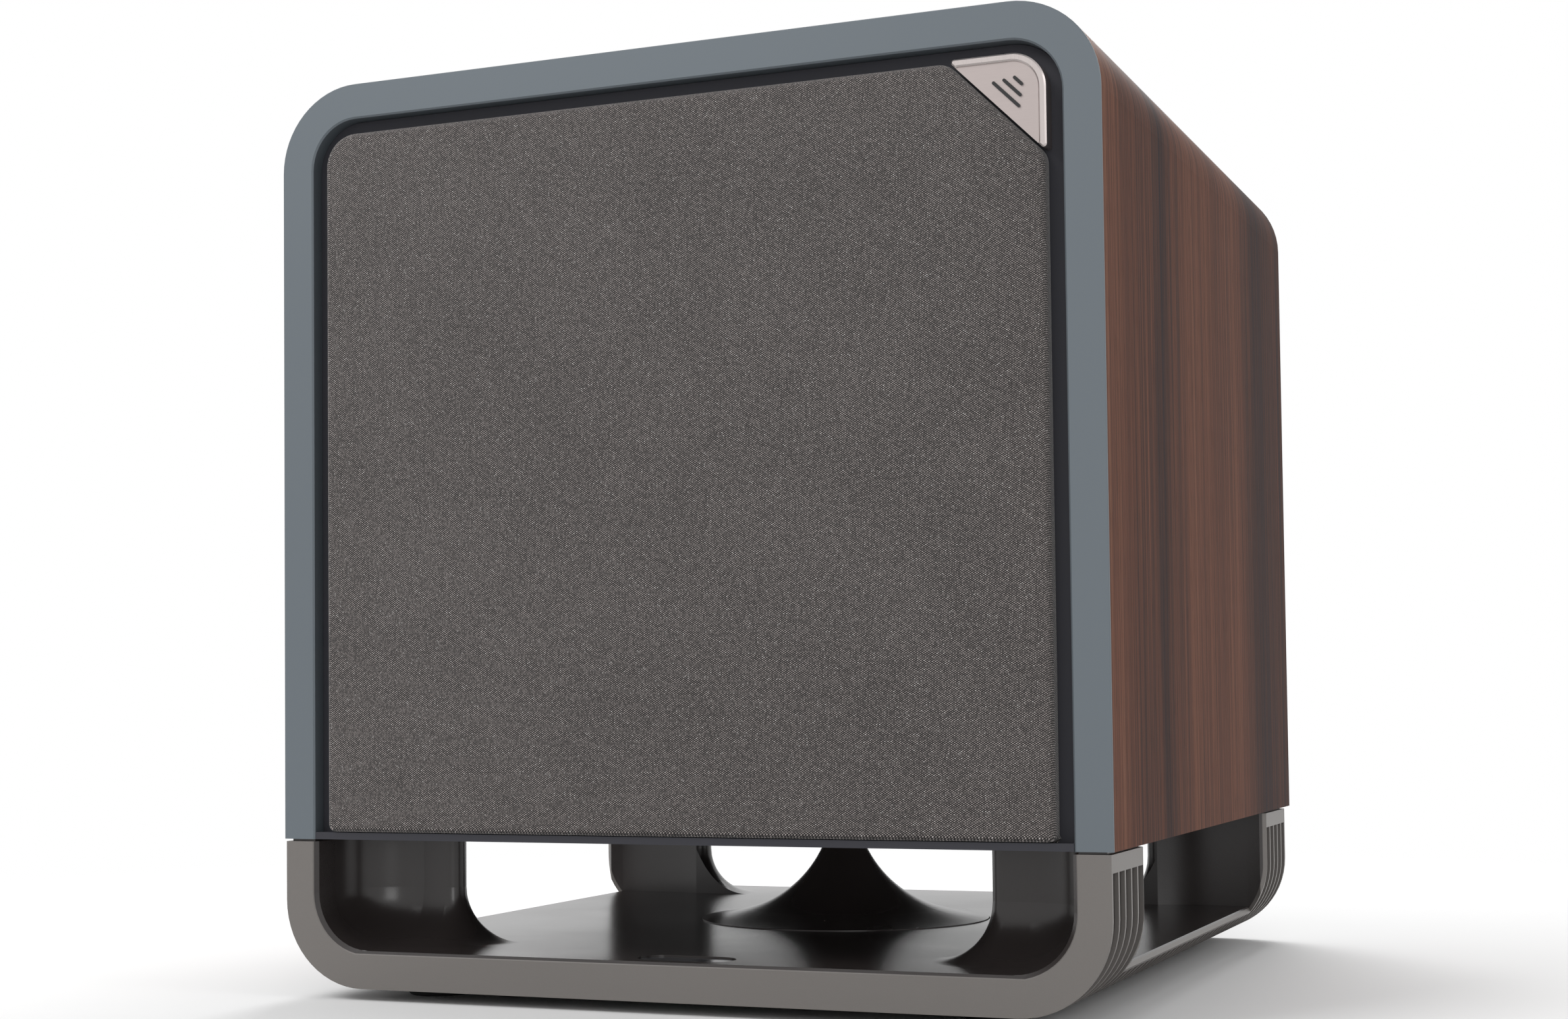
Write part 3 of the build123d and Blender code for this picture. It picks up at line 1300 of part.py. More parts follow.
# ---------------------------------------------------------------- every node
def main():
    os.makedirs("parts", exist_ok=True)
    save("cabinet_wrap", cabinet_wrap())
    save("front_baffle", front_baffle())
    save("rear_panel", rear_panel())
    save("bottom_panel", bottom_panel())
    save("cabinet_brace", cabinet_brace())
    save("damping_pads", damping_pad(-1), damping_pad(1))
    save("front_bezel", front_bezel())
    save("recess_panel", recess_panel())
    save("grille_sockets", *grille_sockets())
    save("grille_frame", grille_frame())
    save("grille_cloth", grille_cloth())
    save("badge_plate", badge_plate())
    save("badge_trim", badge_rim(), *badge_emblem())
    save("woofer_basket", woofer_basket())
    save("woofer_gasket", woofer_gasket())
    save("woofer_surround", surround())
    save("woofer_cone", cone())
    save("dust_cap", dust_cap())
    save("coil_former", coil_former())
    save("coil_winding", coil_winding())
    save("spider", spider())
    save("top_plate", top_plate())
    save("magnet", magnet())
    save("pole_yoke", pole_yoke())
    save("woofer_terminals", terminal_board(), *terminal_tabs())
    save("woofer_screws", *woofer_screws())
    save("port_tube", port_tube())
    save("port_screws", *port_screws())
    save("base_frame", base_frame())
    save("status_light_lens", status_light_lens())
    save("status_light_board", *status_light_board())
    save("port_diffuser", port_diffuser())
    save("diffuser_screws", *diffuser_screws())
    save("base_screws", *base_screws())
    save("feet", *feet())
    save("feet_screws", *feet_screws())
    save("amp_plate", amp_plate())
    save("amp_gasket", amp_gasket())
    save("amp_screws", *amp_screws())
    save("heatsink", heatsink())
    save("amp_board", amp_board())
    save("board_hardware", *board_standoffs(), *board_screws())
    save("transformer", transformer())
    save("transformer_clamp", transformer_clamp())
    save("amp_components", *filter_capacitors(), *power_transistors())
    for name in knob_places():
        save(name + "_pot", control_pot(name), pot_nut(name))
        save(name + "_knob", knob(name), pot_shaft(name), knob_pointer(name))
    save("jack_block", jack_block())
    save("jack_contacts", *jack_shells(), *jack_centres())
    save("slide_switch_bodies", slide_body(*MODE_SWITCH), slide_body(*PHASE_SWITCH))
    save("mode_switch_lever", slide_lever(*MODE_SWITCH))
    save("phase_switch_lever", slide_lever(*PHASE_SWITCH))
    save("rocker_frame", rocker_frame(), rocker_pin())
    save("mains_rocker", mains_rocker())
    save("mains_inlet", mains_inlet())
    save("inlet_contacts", *inlet_contacts())
    save("fuse_drawer", fuse_drawer())
    save("fuse", fuse())


main()
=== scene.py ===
"""Looks for a powered subwoofer: its finishes, grille cloth, felt padding and small details."""

import logging
import math
from dataclasses import dataclass
from enum import Enum
from typing import Callable, Optional, Sequence, Tuple, Union

import bpy
from mathutils import Matrix, Vector


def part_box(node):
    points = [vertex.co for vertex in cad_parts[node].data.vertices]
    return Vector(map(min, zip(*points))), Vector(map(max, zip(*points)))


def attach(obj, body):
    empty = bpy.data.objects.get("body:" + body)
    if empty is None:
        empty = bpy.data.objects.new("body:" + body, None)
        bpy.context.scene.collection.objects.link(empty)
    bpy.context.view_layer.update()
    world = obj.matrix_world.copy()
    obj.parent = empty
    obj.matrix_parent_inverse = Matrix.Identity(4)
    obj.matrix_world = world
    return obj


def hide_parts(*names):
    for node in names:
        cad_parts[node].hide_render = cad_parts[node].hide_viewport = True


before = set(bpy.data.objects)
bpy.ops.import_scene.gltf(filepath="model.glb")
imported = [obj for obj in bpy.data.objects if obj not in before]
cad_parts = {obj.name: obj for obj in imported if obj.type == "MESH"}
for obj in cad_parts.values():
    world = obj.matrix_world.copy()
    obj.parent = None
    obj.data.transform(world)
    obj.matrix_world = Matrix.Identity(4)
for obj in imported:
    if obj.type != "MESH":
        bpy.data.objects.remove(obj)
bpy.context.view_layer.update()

log = logging.getLogger("subwoofer")
Colour = Tuple[float, float, float]
Socket = bpy.types.NodeSocket
Value = Union[float, Socket]
MM = 0.001


class Axis(Enum):
    """The three directions of the object's own frame."""

    ACROSS = 0
    DEEP = 1
    UP = 2


# ------------------------------------------------------------------ places read from the frame
def low(node: str) -> Vector:
    """The lowest corner of a node at rest."""
    return Vector(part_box(node)[0])


def high(node: str) -> Vector:
    """The highest corner of a node at rest."""
    return Vector(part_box(node)[1])


def middle(node: str) -> Vector:
    """The middle of a node's box at rest."""
    return (low(node) + high(node)) / 2


# ------------------------------------------------------------------ node graphs
class Graph:
    """A material's nodes, with short calls for the ones that the finishes use."""

    def __init__(self, name: str) -> None:
        """Start a material that holds a Principled shader and nothing else.

        Args:
            name: the material's name.
        """
        self.material = bpy.data.materials.new(name)
        self.material.use_nodes = True
        self.tree = self.material.node_tree
        self.tree.nodes.clear()
        output = self.tree.nodes.new("ShaderNodeOutputMaterial")
        self.shader = self.tree.nodes.new("ShaderNodeBsdfPrincipled")
        self.tree.links.new(self.shader.outputs["BSDF"], output.inputs["Surface"])
        self.place = self.tree.nodes.new("ShaderNodeTexCoord").outputs["Object"]
        split = self.put("ShaderNodeSeparateXYZ", {"Vector": self.place})
        self.x, self.y, self.z = split.outputs

    def put(self, kind: str, inputs: dict, **settings: object) -> bpy.types.Node:
        """Add a node.

        Args:
            kind: the node's type name.
            inputs: value or socket for each input, by name or number.
            settings: the node's own attributes.

        Returns:
            The new node.
        """
        node = self.tree.nodes.new(kind)
        for key, value in settings.items():
            setattr(node, key, value)
        for key, value in inputs.items():
            if isinstance(value, Socket):
                self.tree.links.new(value, node.inputs[key])
            else:
                node.inputs[key].default_value = value
        return node

    def calc(self, operation: str, a: Value, b: Value = 0.0, c: Value = 0.0) -> Socket:
        """One Math node, by the name of its operation."""
        return self.put("ShaderNodeMath", {0: a, 1: b, 2: c}, operation=operation).outputs[0]

    def step(self, value: Value, start: float, end: float) -> Socket:
        """Rises smoothly from 0 at start to 1 at end."""
        node = self.put(
            "ShaderNodeMapRange",
            {"Value": value, "From Min": start, "From Max": end, "To Min": 0.0, "To Max": 1.0},
            interpolation_type="SMOOTHSTEP",
        )
        return node.outputs[0]

    def stretch(self, scale: Sequence[float], shift: Sequence[float] = (0, 0, 0)) -> Socket:
        """Object coordinates, shifted and then scaled axis by axis."""
        moved = self.put("ShaderNodeVectorMath", {0: self.place, 1: tuple(shift)}, operation="ADD")
        scaled = self.put(
            "ShaderNodeVectorMath", {0: moved.outputs[0], 1: tuple(scale)}, operation="MULTIPLY"
        )
        return scaled.outputs[0]

    def noise(self, vector: Socket, scale: float, detail: float = 2.0, rough: float = 0.5) -> Socket:
        """A Noise texture's value."""
        inputs = {"Vector": vector, "Scale": scale, "Detail": detail, "Roughness": rough}
        return self.put("ShaderNodeTexNoise", inputs).outputs[0]

    def cells(self, vector: Socket, scale: float, output: str = "Distance") -> Socket:
        """A Voronoi texture's distance, colour or place."""
        return self.put("ShaderNodeTexVoronoi", {"Vector": vector, "Scale": scale}).outputs[output]

    def ramp(self, value: Socket, *stops: Tuple[float, Colour]) -> Socket:
        """A colour ramp.

        Args:
            value: what the ramp reads.
            stops: pairs of a position and its colour.

        Returns:
            The ramp's colour.
        """
        node = self.put("ShaderNodeValToRGB", {"Fac": value})
        points = node.color_ramp.elements
        while len(points) < len(stops):
            points.new(0.5)
        for point, (position, colour) in zip(points, stops):
            point.position = position
            point.color = (*colour, 1.0)
        return node.outputs["Color"]

    def blend(self, share: Value, a: Union[Colour, Socket], b: Union[Colour, Socket]) -> Socket:
        """A colour between a, where share is 0, and b, where it is 1."""
        node = self.tree.nodes.new("ShaderNodeMix")
        node.data_type = "RGBA"
        for index, value in ((0, share), (6, a), (7, b)):
            if isinstance(value, Socket):
                self.tree.links.new(value, node.inputs[index])
            elif index:
                node.inputs[index].default_value = (*value, 1.0)
            else:
                node.inputs[index].default_value = value
        return node.outputs[2]

    def shade(self, colour: Union[Colour, Socket], share: Socket, amount: float) -> Socket:
        """Darken and lighten a colour by amount as share goes from 0 to 1."""
        gain = self.calc("MULTIPLY_ADD", share, 2 * amount, 1 - amount)
        grey = self.put("ShaderNodeCombineXYZ", {0: gain, 1: gain, 2: gain}).outputs[0]
        base = colour if isinstance(colour, Socket) else tuple(colour)
        scaled = self.put("ShaderNodeVectorMath", {0: base, 1: grey}, operation="MULTIPLY")
        return scaled.outputs[0]

    def relief(self, height: Socket, depth: float, onto: Optional[Socket] = None) -> Socket:
        """Bump the surface.

        Args:
            height: from 0 to 1.
            depth: the height of 1, in metres.
            onto: a normal that this one adds to.

        Returns:
            The bumped normal, which the shader takes too.
        """
        inputs = {"Height": height, "Distance": depth, "Strength": 1.0}
        if onto is not None:
            inputs["Normal"] = onto
        normal = self.put("ShaderNodeBump", inputs).outputs[0]
        self.tree.links.new(normal, self.shader.inputs["Normal"])
        return normal

    def set(self, **values: object) -> None:
        """Set or link the shader's inputs, named with underscores for spaces."""
        for key, value in values.items():
            entry = self.shader.inputs[key.replace("_", " ")]
            if isinstance(value, Socket):
                self.tree.links.new(value, entry)
            elif isinstance(value, tuple) and len(value) == 3:
                entry.default_value = (*value, 1.0)
            else:
                entry.default_value = value


# ------------------------------------------------------------------ finishes
@dataclass(frozen=True)
class Finish:
    """A surface finish; each kind below paints its own nodes."""

    name: str

    def material(self) -> bpy.types.Material:
        """The finish as a material, made once."""
        made = bpy.data.materials.get(self.name)
        if made is None:
            graph = Graph(self.name)
            self.paint(graph)
            made = graph.material
        return made

    def paint(self, g: Graph) -> None:
        """Fill the graph; each kind of finish has its own."""
        raise NotImplementedError


@dataclass(frozen=True)
class Moulded(Finish):
    """Moulded plastic, rubber, powder coat or lacquer with a fine even grain."""

    colour: Colour = (0.02, 0.02, 0.02)
    rough: float = 0.5
    grain: float = 0.5 * MM
    depth: float = 0.02 * MM
    mottle: float = 0.12
    metallic: float = 0.0
    coat: float = 0.0

    def paint(self, g: Graph) -> None:
        """A pebbled grain, with slow drifts of tone and gloss."""
        slow = g.noise(g.place, 14.0, 3.0)
        fine = g.noise(g.place, 1.0 / self.grain, 2.0, 0.6)
        tone = g.calc("MULTIPLY_ADD", fine, 0.5, g.calc("MULTIPLY", slow, 0.5))
        g.set(Base_Color=g.shade(self.colour, tone, self.mottle))
        g.set(Roughness=g.calc("MULTIPLY_ADD", slow, 0.16, self.rough - 0.08))
        g.set(Metallic=self.metallic, Coat_Weight=self.coat, Coat_Roughness=0.12)
        g.relief(g.cells(g.place, 0.7 / self.grain), self.depth)


@dataclass(frozen=True)
class Brushed(Finish):
    """Metal with fine scratches along one axis."""

    colour: Colour = (0.5, 0.5, 0.5)
    rough: float = 0.3
    along: Axis = Axis.ACROSS
    scratch: float = 0.2 * MM
    depth: float = 0.006 * MM
    tarnish: float = 0.1

    def paint(self, g: Graph) -> None:
        """Noise drawn out along the brushing."""
        scale = [1.0 / self.scratch] * 3
        scale[self.along.value] = 1.0 / (self.scratch * 60)
        lines = g.noise(g.stretch(scale), 1.0, 2.0, 0.6)
        cloud = g.noise(g.place, 30.0, 3.0)
        tone = g.calc("MULTIPLY_ADD", lines, 0.6, g.calc("MULTIPLY", cloud, 0.4))
        g.set(Base_Color=g.shade(self.colour, tone, self.tarnish), Metallic=1.0)
        g.set(Roughness=g.calc("MULTIPLY_ADD", lines, 0.18, self.rough - 0.09))
        g.relief(lines, self.depth)


@dataclass(frozen=True)
class Veneer(Finish):
    """Dark walnut whose grain runs up the sides and on over the top.

    The figure lists how light the wood is from front to back, as pairs of depth and tone.
    """

    board: float = 17.8 * MM
    figure: Tuple[Tuple[float, float], ...] = (
        (0.00, 0.62), (0.07, 0.55), (0.12, 0.40), (0.21, 0.42), (0.265, 0.22), (0.30, 0.42),
        (0.42, 0.55), (0.55, 0.46), (0.66, 0.56), (0.76, 0.40), (0.81, 0.20), (0.88, 0.24),
        (0.93, 0.32), (1.00, 0.28),
    )
    colours: Tuple[Tuple[float, Colour], ...] = (
        (0.12, (0.024, 0.017, 0.019)),
        (0.32, (0.062, 0.030, 0.023)),
        (0.50, (0.120, 0.051, 0.034)),
        (0.68, (0.170, 0.076, 0.049)),
        (0.88, (0.255, 0.128, 0.084)),
    )

    def paint(self, g: Graph) -> None:
        """Broad heartwood bands, finer streaks and open pores, all drawn out along the grain."""
        lo, hi = low("cabinet_wrap"), high("cabinet_wrap")
        bend = g.noise(g.stretch((2.4, 7.0, 2.4)), 1.0, 2.0)
        drift = g.calc("MULTIPLY_ADD", bend, 36 * MM, g.y)
        depth = g.calc("DIVIDE", g.calc("SUBTRACT", drift, lo.y + 18 * MM), hi.y - lo.y)
        tones = tuple((place, (tone, tone, tone)) for place, tone in self.figure)
        broad = g.put("ShaderNodeSeparateColor", {0: g.ramp(depth, *tones)}).outputs[0]
        streak = g.noise(g.stretch((3.0, 420.0, 3.0)), 1.0, 5.0, 0.70)
        hair = g.noise(g.stretch((14.0, 1500.0, 14.0)), 1.0, 2.0, 0.6)
        mixed = g.calc("MULTIPLY_ADD", g.calc("SUBTRACT", streak, 0.5), 1.25, broad)
        colour = g.shade(g.ramp(mixed, *self.colours), hair, 0.42)
        pores = g.noise(g.stretch((60.0, 3000.0, 60.0)), 1.0, 1.0)
        open_pore = g.step(pores, 0.60, 0.70)
        faced = g.blend(g.calc("MULTIPLY", open_pore, 0.6), colour, (0.020, 0.012, 0.011))
        back = g.step(g.y, hi.y - 0.5 * MM, hi.y - 0.3 * MM)
        inner = g.step(g.z, hi.z, hi.z - self.board)
        face = hi.x - self.board
        inside = g.calc("MULTIPLY", inner, g.step(g.calc("ABSOLUTE", g.x), face, face - 0.2 * MM))
        banding = g.shade((0.030, 0.018, 0.015), g.noise(g.place, 1400.0, 3.0, 0.6), 0.35)
        g.set(Base_Color=g.blend(g.calc("MAXIMUM", back, inside), faced, banding))
        g.set(Roughness=g.calc("MULTIPLY_ADD", streak, 0.16, 0.42), Specular_IOR_Level=0.015)
        g.relief(g.calc("SUBTRACT", hair, g.calc("MULTIPLY", open_pore, 0.8)), 0.035 * MM)


@dataclass(frozen=True)
class FlakePaint(Finish):
    """Metallic paint under a satin clear coat, with its fine sparkle painted into the colour as painted
    highlights.
    """

    colour: Colour = (0.158, 0.166, 0.174)

    def paint(self, g: Graph) -> None:
        """Small cells, a few of which are painted light grey as a painted sparkle of flakes that catch the
        light.
        """
        flake = g.put("ShaderNodeSeparateColor", {0: g.cells(g.place, 1900.0, "Color")}).outputs[0]
        big = g.put("ShaderNodeSeparateColor", {0: g.cells(g.place, 1000.0, "Color")}).outputs[1]
        # painted highlight: the flakes that catch the light are painted near white into the base colour
        painted_sparkle = g.calc("MAXIMUM", g.step(flake, 0.80, 0.98), g.calc("MULTIPLY", g.step(big, 0.90, 1.0), 0.9))
        base = g.shade(self.colour, g.noise(g.place, 1100.0, 3.0, 0.7), 0.45)
        g.set(Base_Color=g.blend(g.calc("MULTIPLY", painted_sparkle, 0.85), base, (0.68, 0.71, 0.73)))
        g.set(Metallic=0.55, Roughness=g.calc("MULTIPLY_ADD", painted_sparkle, -0.15, 0.46))
        g.relief(flake, 0.05 * MM)


@dataclass(frozen=True)
class GrilleCloth(Finish):
    """Woven grille cloth: staggered dots of light thread over a dark ground."""

    pitch: float = 1.31 * MM
    row_height: float = 0.437 * MM
    ground: Colour = (0.014, 0.012, 0.0115)
    thread: Colour = (0.335, 0.298, 0.286)

    def paint(self, g: Graph) -> None:
        """Rows of dots, each row half a pitch along from the last, and a painted glint on a few scattered
        dots.
        """
        across = g.calc("DIVIDE", g.calc("ADD", g.x, g.y), self.pitch)
        up = g.calc("DIVIDE", g.calc("ADD", g.z, g.y), self.row_height)
        row = g.calc("FLOOR", up)
        shifted = g.calc("MULTIPLY_ADD", row, 0.5, across)
        spots = g.put("ShaderNodeCombineXYZ", {0: g.calc("FLOOR", shifted), 1: row, 2: 0.0}).outputs[0]
        chance = g.put("ShaderNodeTexWhiteNoise", {"Vector": spots}).outputs
        wander = g.put("ShaderNodeSeparateXYZ", {0: chance["Color"]}).outputs
        u = g.calc("SUBTRACT", g.calc("FRACT", shifted), g.calc("MULTIPLY_ADD", wander[0], 0.12, 0.44))
        v = g.calc("SUBTRACT", g.calc("FRACT", up), g.calc("MULTIPLY_ADD", wander[1], 0.12, 0.44))
        square = g.calc("MULTIPLY_ADD", g.calc("MULTIPLY", u, u), 4.0, g.calc("MULTIPLY", v, v))
        dot = g.step(square, 0.36, 0.03)
        cloud = g.noise(g.place, 22.0, 3.0)
        tone = g.calc("MULTIPLY_ADD", cloud, 0.3, g.calc("MULTIPLY", wander[2], 0.7))
        thread = g.shade(self.thread, tone, 0.65)
        # painted highlight: a few random dots are painted near white, as threads that catch the light
        painted_glint = g.calc("MULTIPLY", g.step(chance["Value"], 0.955, 0.995), g.calc("MULTIPLY", dot, 0.7))
        colour = g.blend(dot, self.ground, thread)
        g.set(Base_Color=g.blend(painted_glint, colour, (0.75, 0.72, 0.70)))
        g.set(Roughness=0.7, Sheen_Weight=0.35, Sheen_Roughness=0.4, Specular_IOR_Level=0.35)
        g.relief(dot, 0.10 * MM)


@dataclass(frozen=True)
class TwoTone(Finish):
    """The base: satin bronze-grey outside, near black wherever its mouth runs in."""

    outside: Colour = (0.180, 0.167, 0.157)
    inside: Colour = (0.0330, 0.0275, 0.0265)
    corner: float = 37 * MM
    shell: float = 1.4 * MM

    def paint(self, g: Graph) -> None:
        """Mask the outer shell and the two end faces by their place."""
        low_end, high_end = low("base_frame"), high("base_frame")
        side = high_end.x
        centre_x = side - self.corner
        centre_z = low_end.z + self.corner
        away_x = g.calc("MAXIMUM", g.calc("SUBTRACT", g.calc("ABSOLUTE", g.x), centre_x), 0.0)
        away_z = g.calc("MAXIMUM", g.calc("SUBTRACT", centre_z, g.z), 0.0)
        reach = g.calc("SQRT", g.calc("MULTIPLY_ADD", away_x, away_x, g.calc("MULTIPLY", away_z, away_z)))
        outer = g.step(reach, self.corner - self.shell - 0.6 * MM, self.corner - self.shell)
        front = g.step(g.y, low_end.y + 0.5 * MM, low_end.y + 0.3 * MM)
        back = g.step(g.y, high_end.y - 0.5 * MM, high_end.y - 0.3 * MM)
        mask = g.calc("MAXIMUM", outer, g.calc("MAXIMUM", front, back))
        fine = g.noise(g.place, 2600.0, 2.0, 0.6)
        slow = g.noise(g.place, 9.0, 3.0)
        tone = g.calc("MULTIPLY_ADD", fine, 0.6, g.calc("MULTIPLY", slow, 0.4))
        shell = g.shade(self.outside, tone, 0.10)
        mouth = g.shade(self.inside, slow, 0.18)
        g.set(Base_Color=g.blend(mask, mouth, shell))
        inner_rough = g.calc("MULTIPLY_ADD", slow, 0.12, 0.17)
        gap = g.calc("SUBTRACT", g.calc("MULTIPLY_ADD", fine, 0.1, 0.40), inner_rough)
        g.set(Roughness=g.calc("MULTIPLY_ADD", mask, gap, inner_rough))
        g.set(Metallic=g.calc("MULTIPLY", mask, 0.35), Specular_IOR_Level=0.5)
        g.relief(g.cells(g.place, 1800.0), 0.012 * MM)


@dataclass(frozen=True)
class Felt(Finish):
    """Matted polyester fibre."""

    colour: Colour = (0.16, 0.16, 0.165)

    def paint(self, g: Graph) -> None:
        """Tangled fibres at two scales."""
        tangle = g.noise(g.stretch((1.0, 3.0, 1.0)), 700.0, 5.0, 0.7)
        clump = g.noise(g.place, 90.0, 4.0)
        g.set(Base_Color=g.shade(self.colour, tangle, 0.5), Roughness=0.95, Sheen_Weight=0.5)
        g.relief(g.calc("ADD", tangle, clump), 0.6 * MM)


@dataclass(frozen=True)
class RawBoard(Finish):
    """Fibreboard, bare or under thin black paint."""

    colour: Colour = (0.27, 0.18, 0.11)
    rough: float = 0.8

    def paint(self, g: Graph) -> None:
        """Short fibres pressed flat."""
        fibre = g.noise(g.stretch((1.0, 1.0, 2.5)), 800.0, 4.0, 0.65)
        g.set(Base_Color=g.shade(self.colour, fibre, 0.3), Roughness=self.rough)
        g.relief(fibre, 0.08 * MM)


@dataclass(frozen=True)
class Wound(Finish):
    """Wire or tape wound round the depth axis."""

    colour: Colour = (0.45, 0.16, 0.06)
    pitch: float = 0.35 * MM
    rough: float = 0.35
    metallic: float = 0.8

    def paint(self, g: Graph) -> None:
        """Parallel turns with a slow drift of tone."""
        turn = g.calc("SINE", g.calc("MULTIPLY", g.y, 2 * math.pi / self.pitch))
        tone = g.noise(g.place, 180.0, 3.0)
        g.set(Base_Color=g.shade(self.colour, tone, 0.25), Metallic=self.metallic, Roughness=self.rough)
        g.relief(g.calc("MULTIPLY_ADD", turn, 0.5, 0.5), 0.3 * self.pitch)


@dataclass(frozen=True)
class Taped(Finish):
    """Polyester tape wrapped round a ring winding, turn over turn."""

    colour: Colour = (0.42, 0.27, 0.04)
    centre: Tuple[float, float] = (0.0, 0.0)
    turns: int = 46

    def paint(self, g: Graph) -> None:
        """Overlapping turns fan out from the middle of the ring."""
        dx = g.calc("SUBTRACT", g.x, self.centre[0])
        dz = g.calc("SUBTRACT", g.z, self.centre[1])
        turn = g.calc("FRACT", g.calc("MULTIPLY", g.calc("ARCTAN2", dz, dx), self.turns / (2 * math.pi)))
        tone = g.noise(g.place, 120.0, 3.0)
        bright = g.calc("MULTIPLY_ADD", turn, 0.5, g.calc("MULTIPLY", tone, 0.5))
        g.set(Base_Color=g.shade(self.colour, bright, 0.3))
        g.set(Roughness=0.28, Coat_Weight=0.4, Coat_Roughness=0.15)
        g.relief(turn, 0.15 * MM)


@dataclass(frozen=True)
class Circuit(Finish):
    """Green solder mask over copper tracks."""

    mask: Colour = (0.006, 0.055, 0.022)

    def paint(self, g: Graph) -> None:
        """Square cells make the tracks, and small dots the vias."""
        node = g.put("ShaderNodeTexVoronoi", {"Vector": g.place, "Scale": 260.0}, distance="CHEBYCHEV")
        track = g.step(node.outputs["Distance"], 0.42, 0.36)
        via = g.step(g.cells(g.place, 420.0), 0.14, 0.10)
        colour = g.blend(g.calc("MULTIPLY", track, 0.5), self.mask, (0.02, 0.12, 0.05))
        g.set(Base_Color=g.blend(via, colour, (0.55, 0.5, 0.4)), Roughness=0.3, Coat_Weight=0.5)
        g.relief(track, 0.04 * MM)


@dataclass(frozen=True)
class Clear(Finish):
    """Clear glass, or plastic that lets some light through."""

    colour: Colour = (0.9, 0.95, 0.95)
    rough: float = 0.03
    through: float = 0.95

    def paint(self, g: Graph) -> None:
        """Faint unevenness, as in drawn glass or a moulded lens."""
        wave = g.noise(g.place, 300.0, 2.0)
        g.set(Base_Color=g.shade(self.colour, wave, 0.06), Transmission_Weight=self.through, IOR=1.49)
        g.set(Roughness=g.calc("MULTIPLY_ADD", wave, 0.05, self.rough))
        g.relief(wave, 0.01 * MM)


@dataclass(frozen=True)
class Emblem(Brushed):
    """Bright trim whose three small bars, inside the rim, are filled with black enamel.

    The bars lie between two depths, measured in from the corner, and within half their span.
    """

    first: float = 13.0 * MM
    last: float = 23.8 * MM
    half_span: float = 8.8 * MM
    fade: float = 0.2 * MM

    def paint(self, g: Graph) -> None:
        """Metal all over, then black where the bars are."""
        super().paint(g)
        corner = high("badge_plate")
        across = g.calc("SUBTRACT", corner.x, g.x)
        down = g.calc("SUBTRACT", corner.z, g.z)
        diagonal = g.calc("MULTIPLY", g.calc("ADD", across, down), math.sqrt(0.5))
        along = g.calc("ABSOLUTE", g.calc("MULTIPLY", g.calc("SUBTRACT", across, down), math.sqrt(0.5)))
        past_first = g.step(diagonal, self.first, self.first + 2 * self.fade)
        inside = g.calc("MULTIPLY", past_first, g.step(along, self.half_span, self.half_span - self.fade))
        bars = g.calc("MULTIPLY", inside, g.step(diagonal, self.last, self.last - self.fade))
        metal = g.shader.inputs["Base Color"].links[0].from_socket
        g.set(Base_Color=g.blend(bars, metal, (0.012, 0.012, 0.013)))
        g.set(Metallic=g.calc("SUBTRACT", 1.0, bars))


@dataclass(frozen=True)
class Pointer(Moulded):
    """Knob plastic with a white line let into the cap."""

    knob: str = ""

    def paint(self, g: Graph) -> None:
        """Black plastic, painted white in the groove of the cap."""
        super().paint(g)
        centre, back = middle(self.knob), high(self.knob).y
        near = g.step(g.calc("ABSOLUTE", g.calc("SUBTRACT", g.x, centre.x)), 0.66 * MM, 0.60 * MM)
        above = g.step(g.z, centre.z + 2.3 * MM, centre.z + 2.5 * MM)
        inset = g.step(g.y, back - 0.7 * MM, back - 0.55 * MM)
        top = g.step(g.y, back - 0.02 * MM, back - 0.08 * MM)
        line = g.calc("MULTIPLY", g.calc("MULTIPLY", near, above), g.calc("MULTIPLY", inset, top))
        black = g.shader.inputs["Base Color"].links[0].from_socket
        g.set(Base_Color=g.blend(line, black, (0.8, 0.8, 0.78)))


BLACK_SCREW = Brushed("black_oxide_screw", (0.05, 0.05, 0.055), 0.36, Axis.ACROSS, 0.15 * MM)
STEEL = Brushed("zinc_plated_steel", (0.55, 0.55, 0.52), 0.30, Axis.UP, 0.25 * MM)
FOOT_RUBBER = Moulded("foot_rubber", (0.012, 0.012, 0.012), 0.85, 0.4 * MM, 0.05 * MM)
GLOSS_BLACK = Moulded("gloss_black_plastic", (0.009, 0.009, 0.010), 0.16, 0.6 * MM, 0.003 * MM, coat=0.3)
SATIN_BLACK = Moulded("satin_black_plastic", (0.011, 0.011, 0.012), 0.42, 0.35 * MM, 0.02 * MM)
POWDER_COAT = Moulded("black_powder_coat", (0.012, 0.012, 0.013), 0.48, 0.55 * MM, 0.07 * MM)
BLACK_BOARD = RawBoard("painted_fibreboard", (0.011, 0.011, 0.012), 0.62)
BARE_BOARD = RawBoard("bare_fibreboard")
CONE_COAT = Moulded("coated_cone", (0.012, 0.012, 0.014), 0.38, 0.7 * MM, 0.05 * MM)
FOAM = Moulded("closed_cell_foam", (0.014, 0.014, 0.014), 0.92, 0.8 * MM, 0.12 * MM)


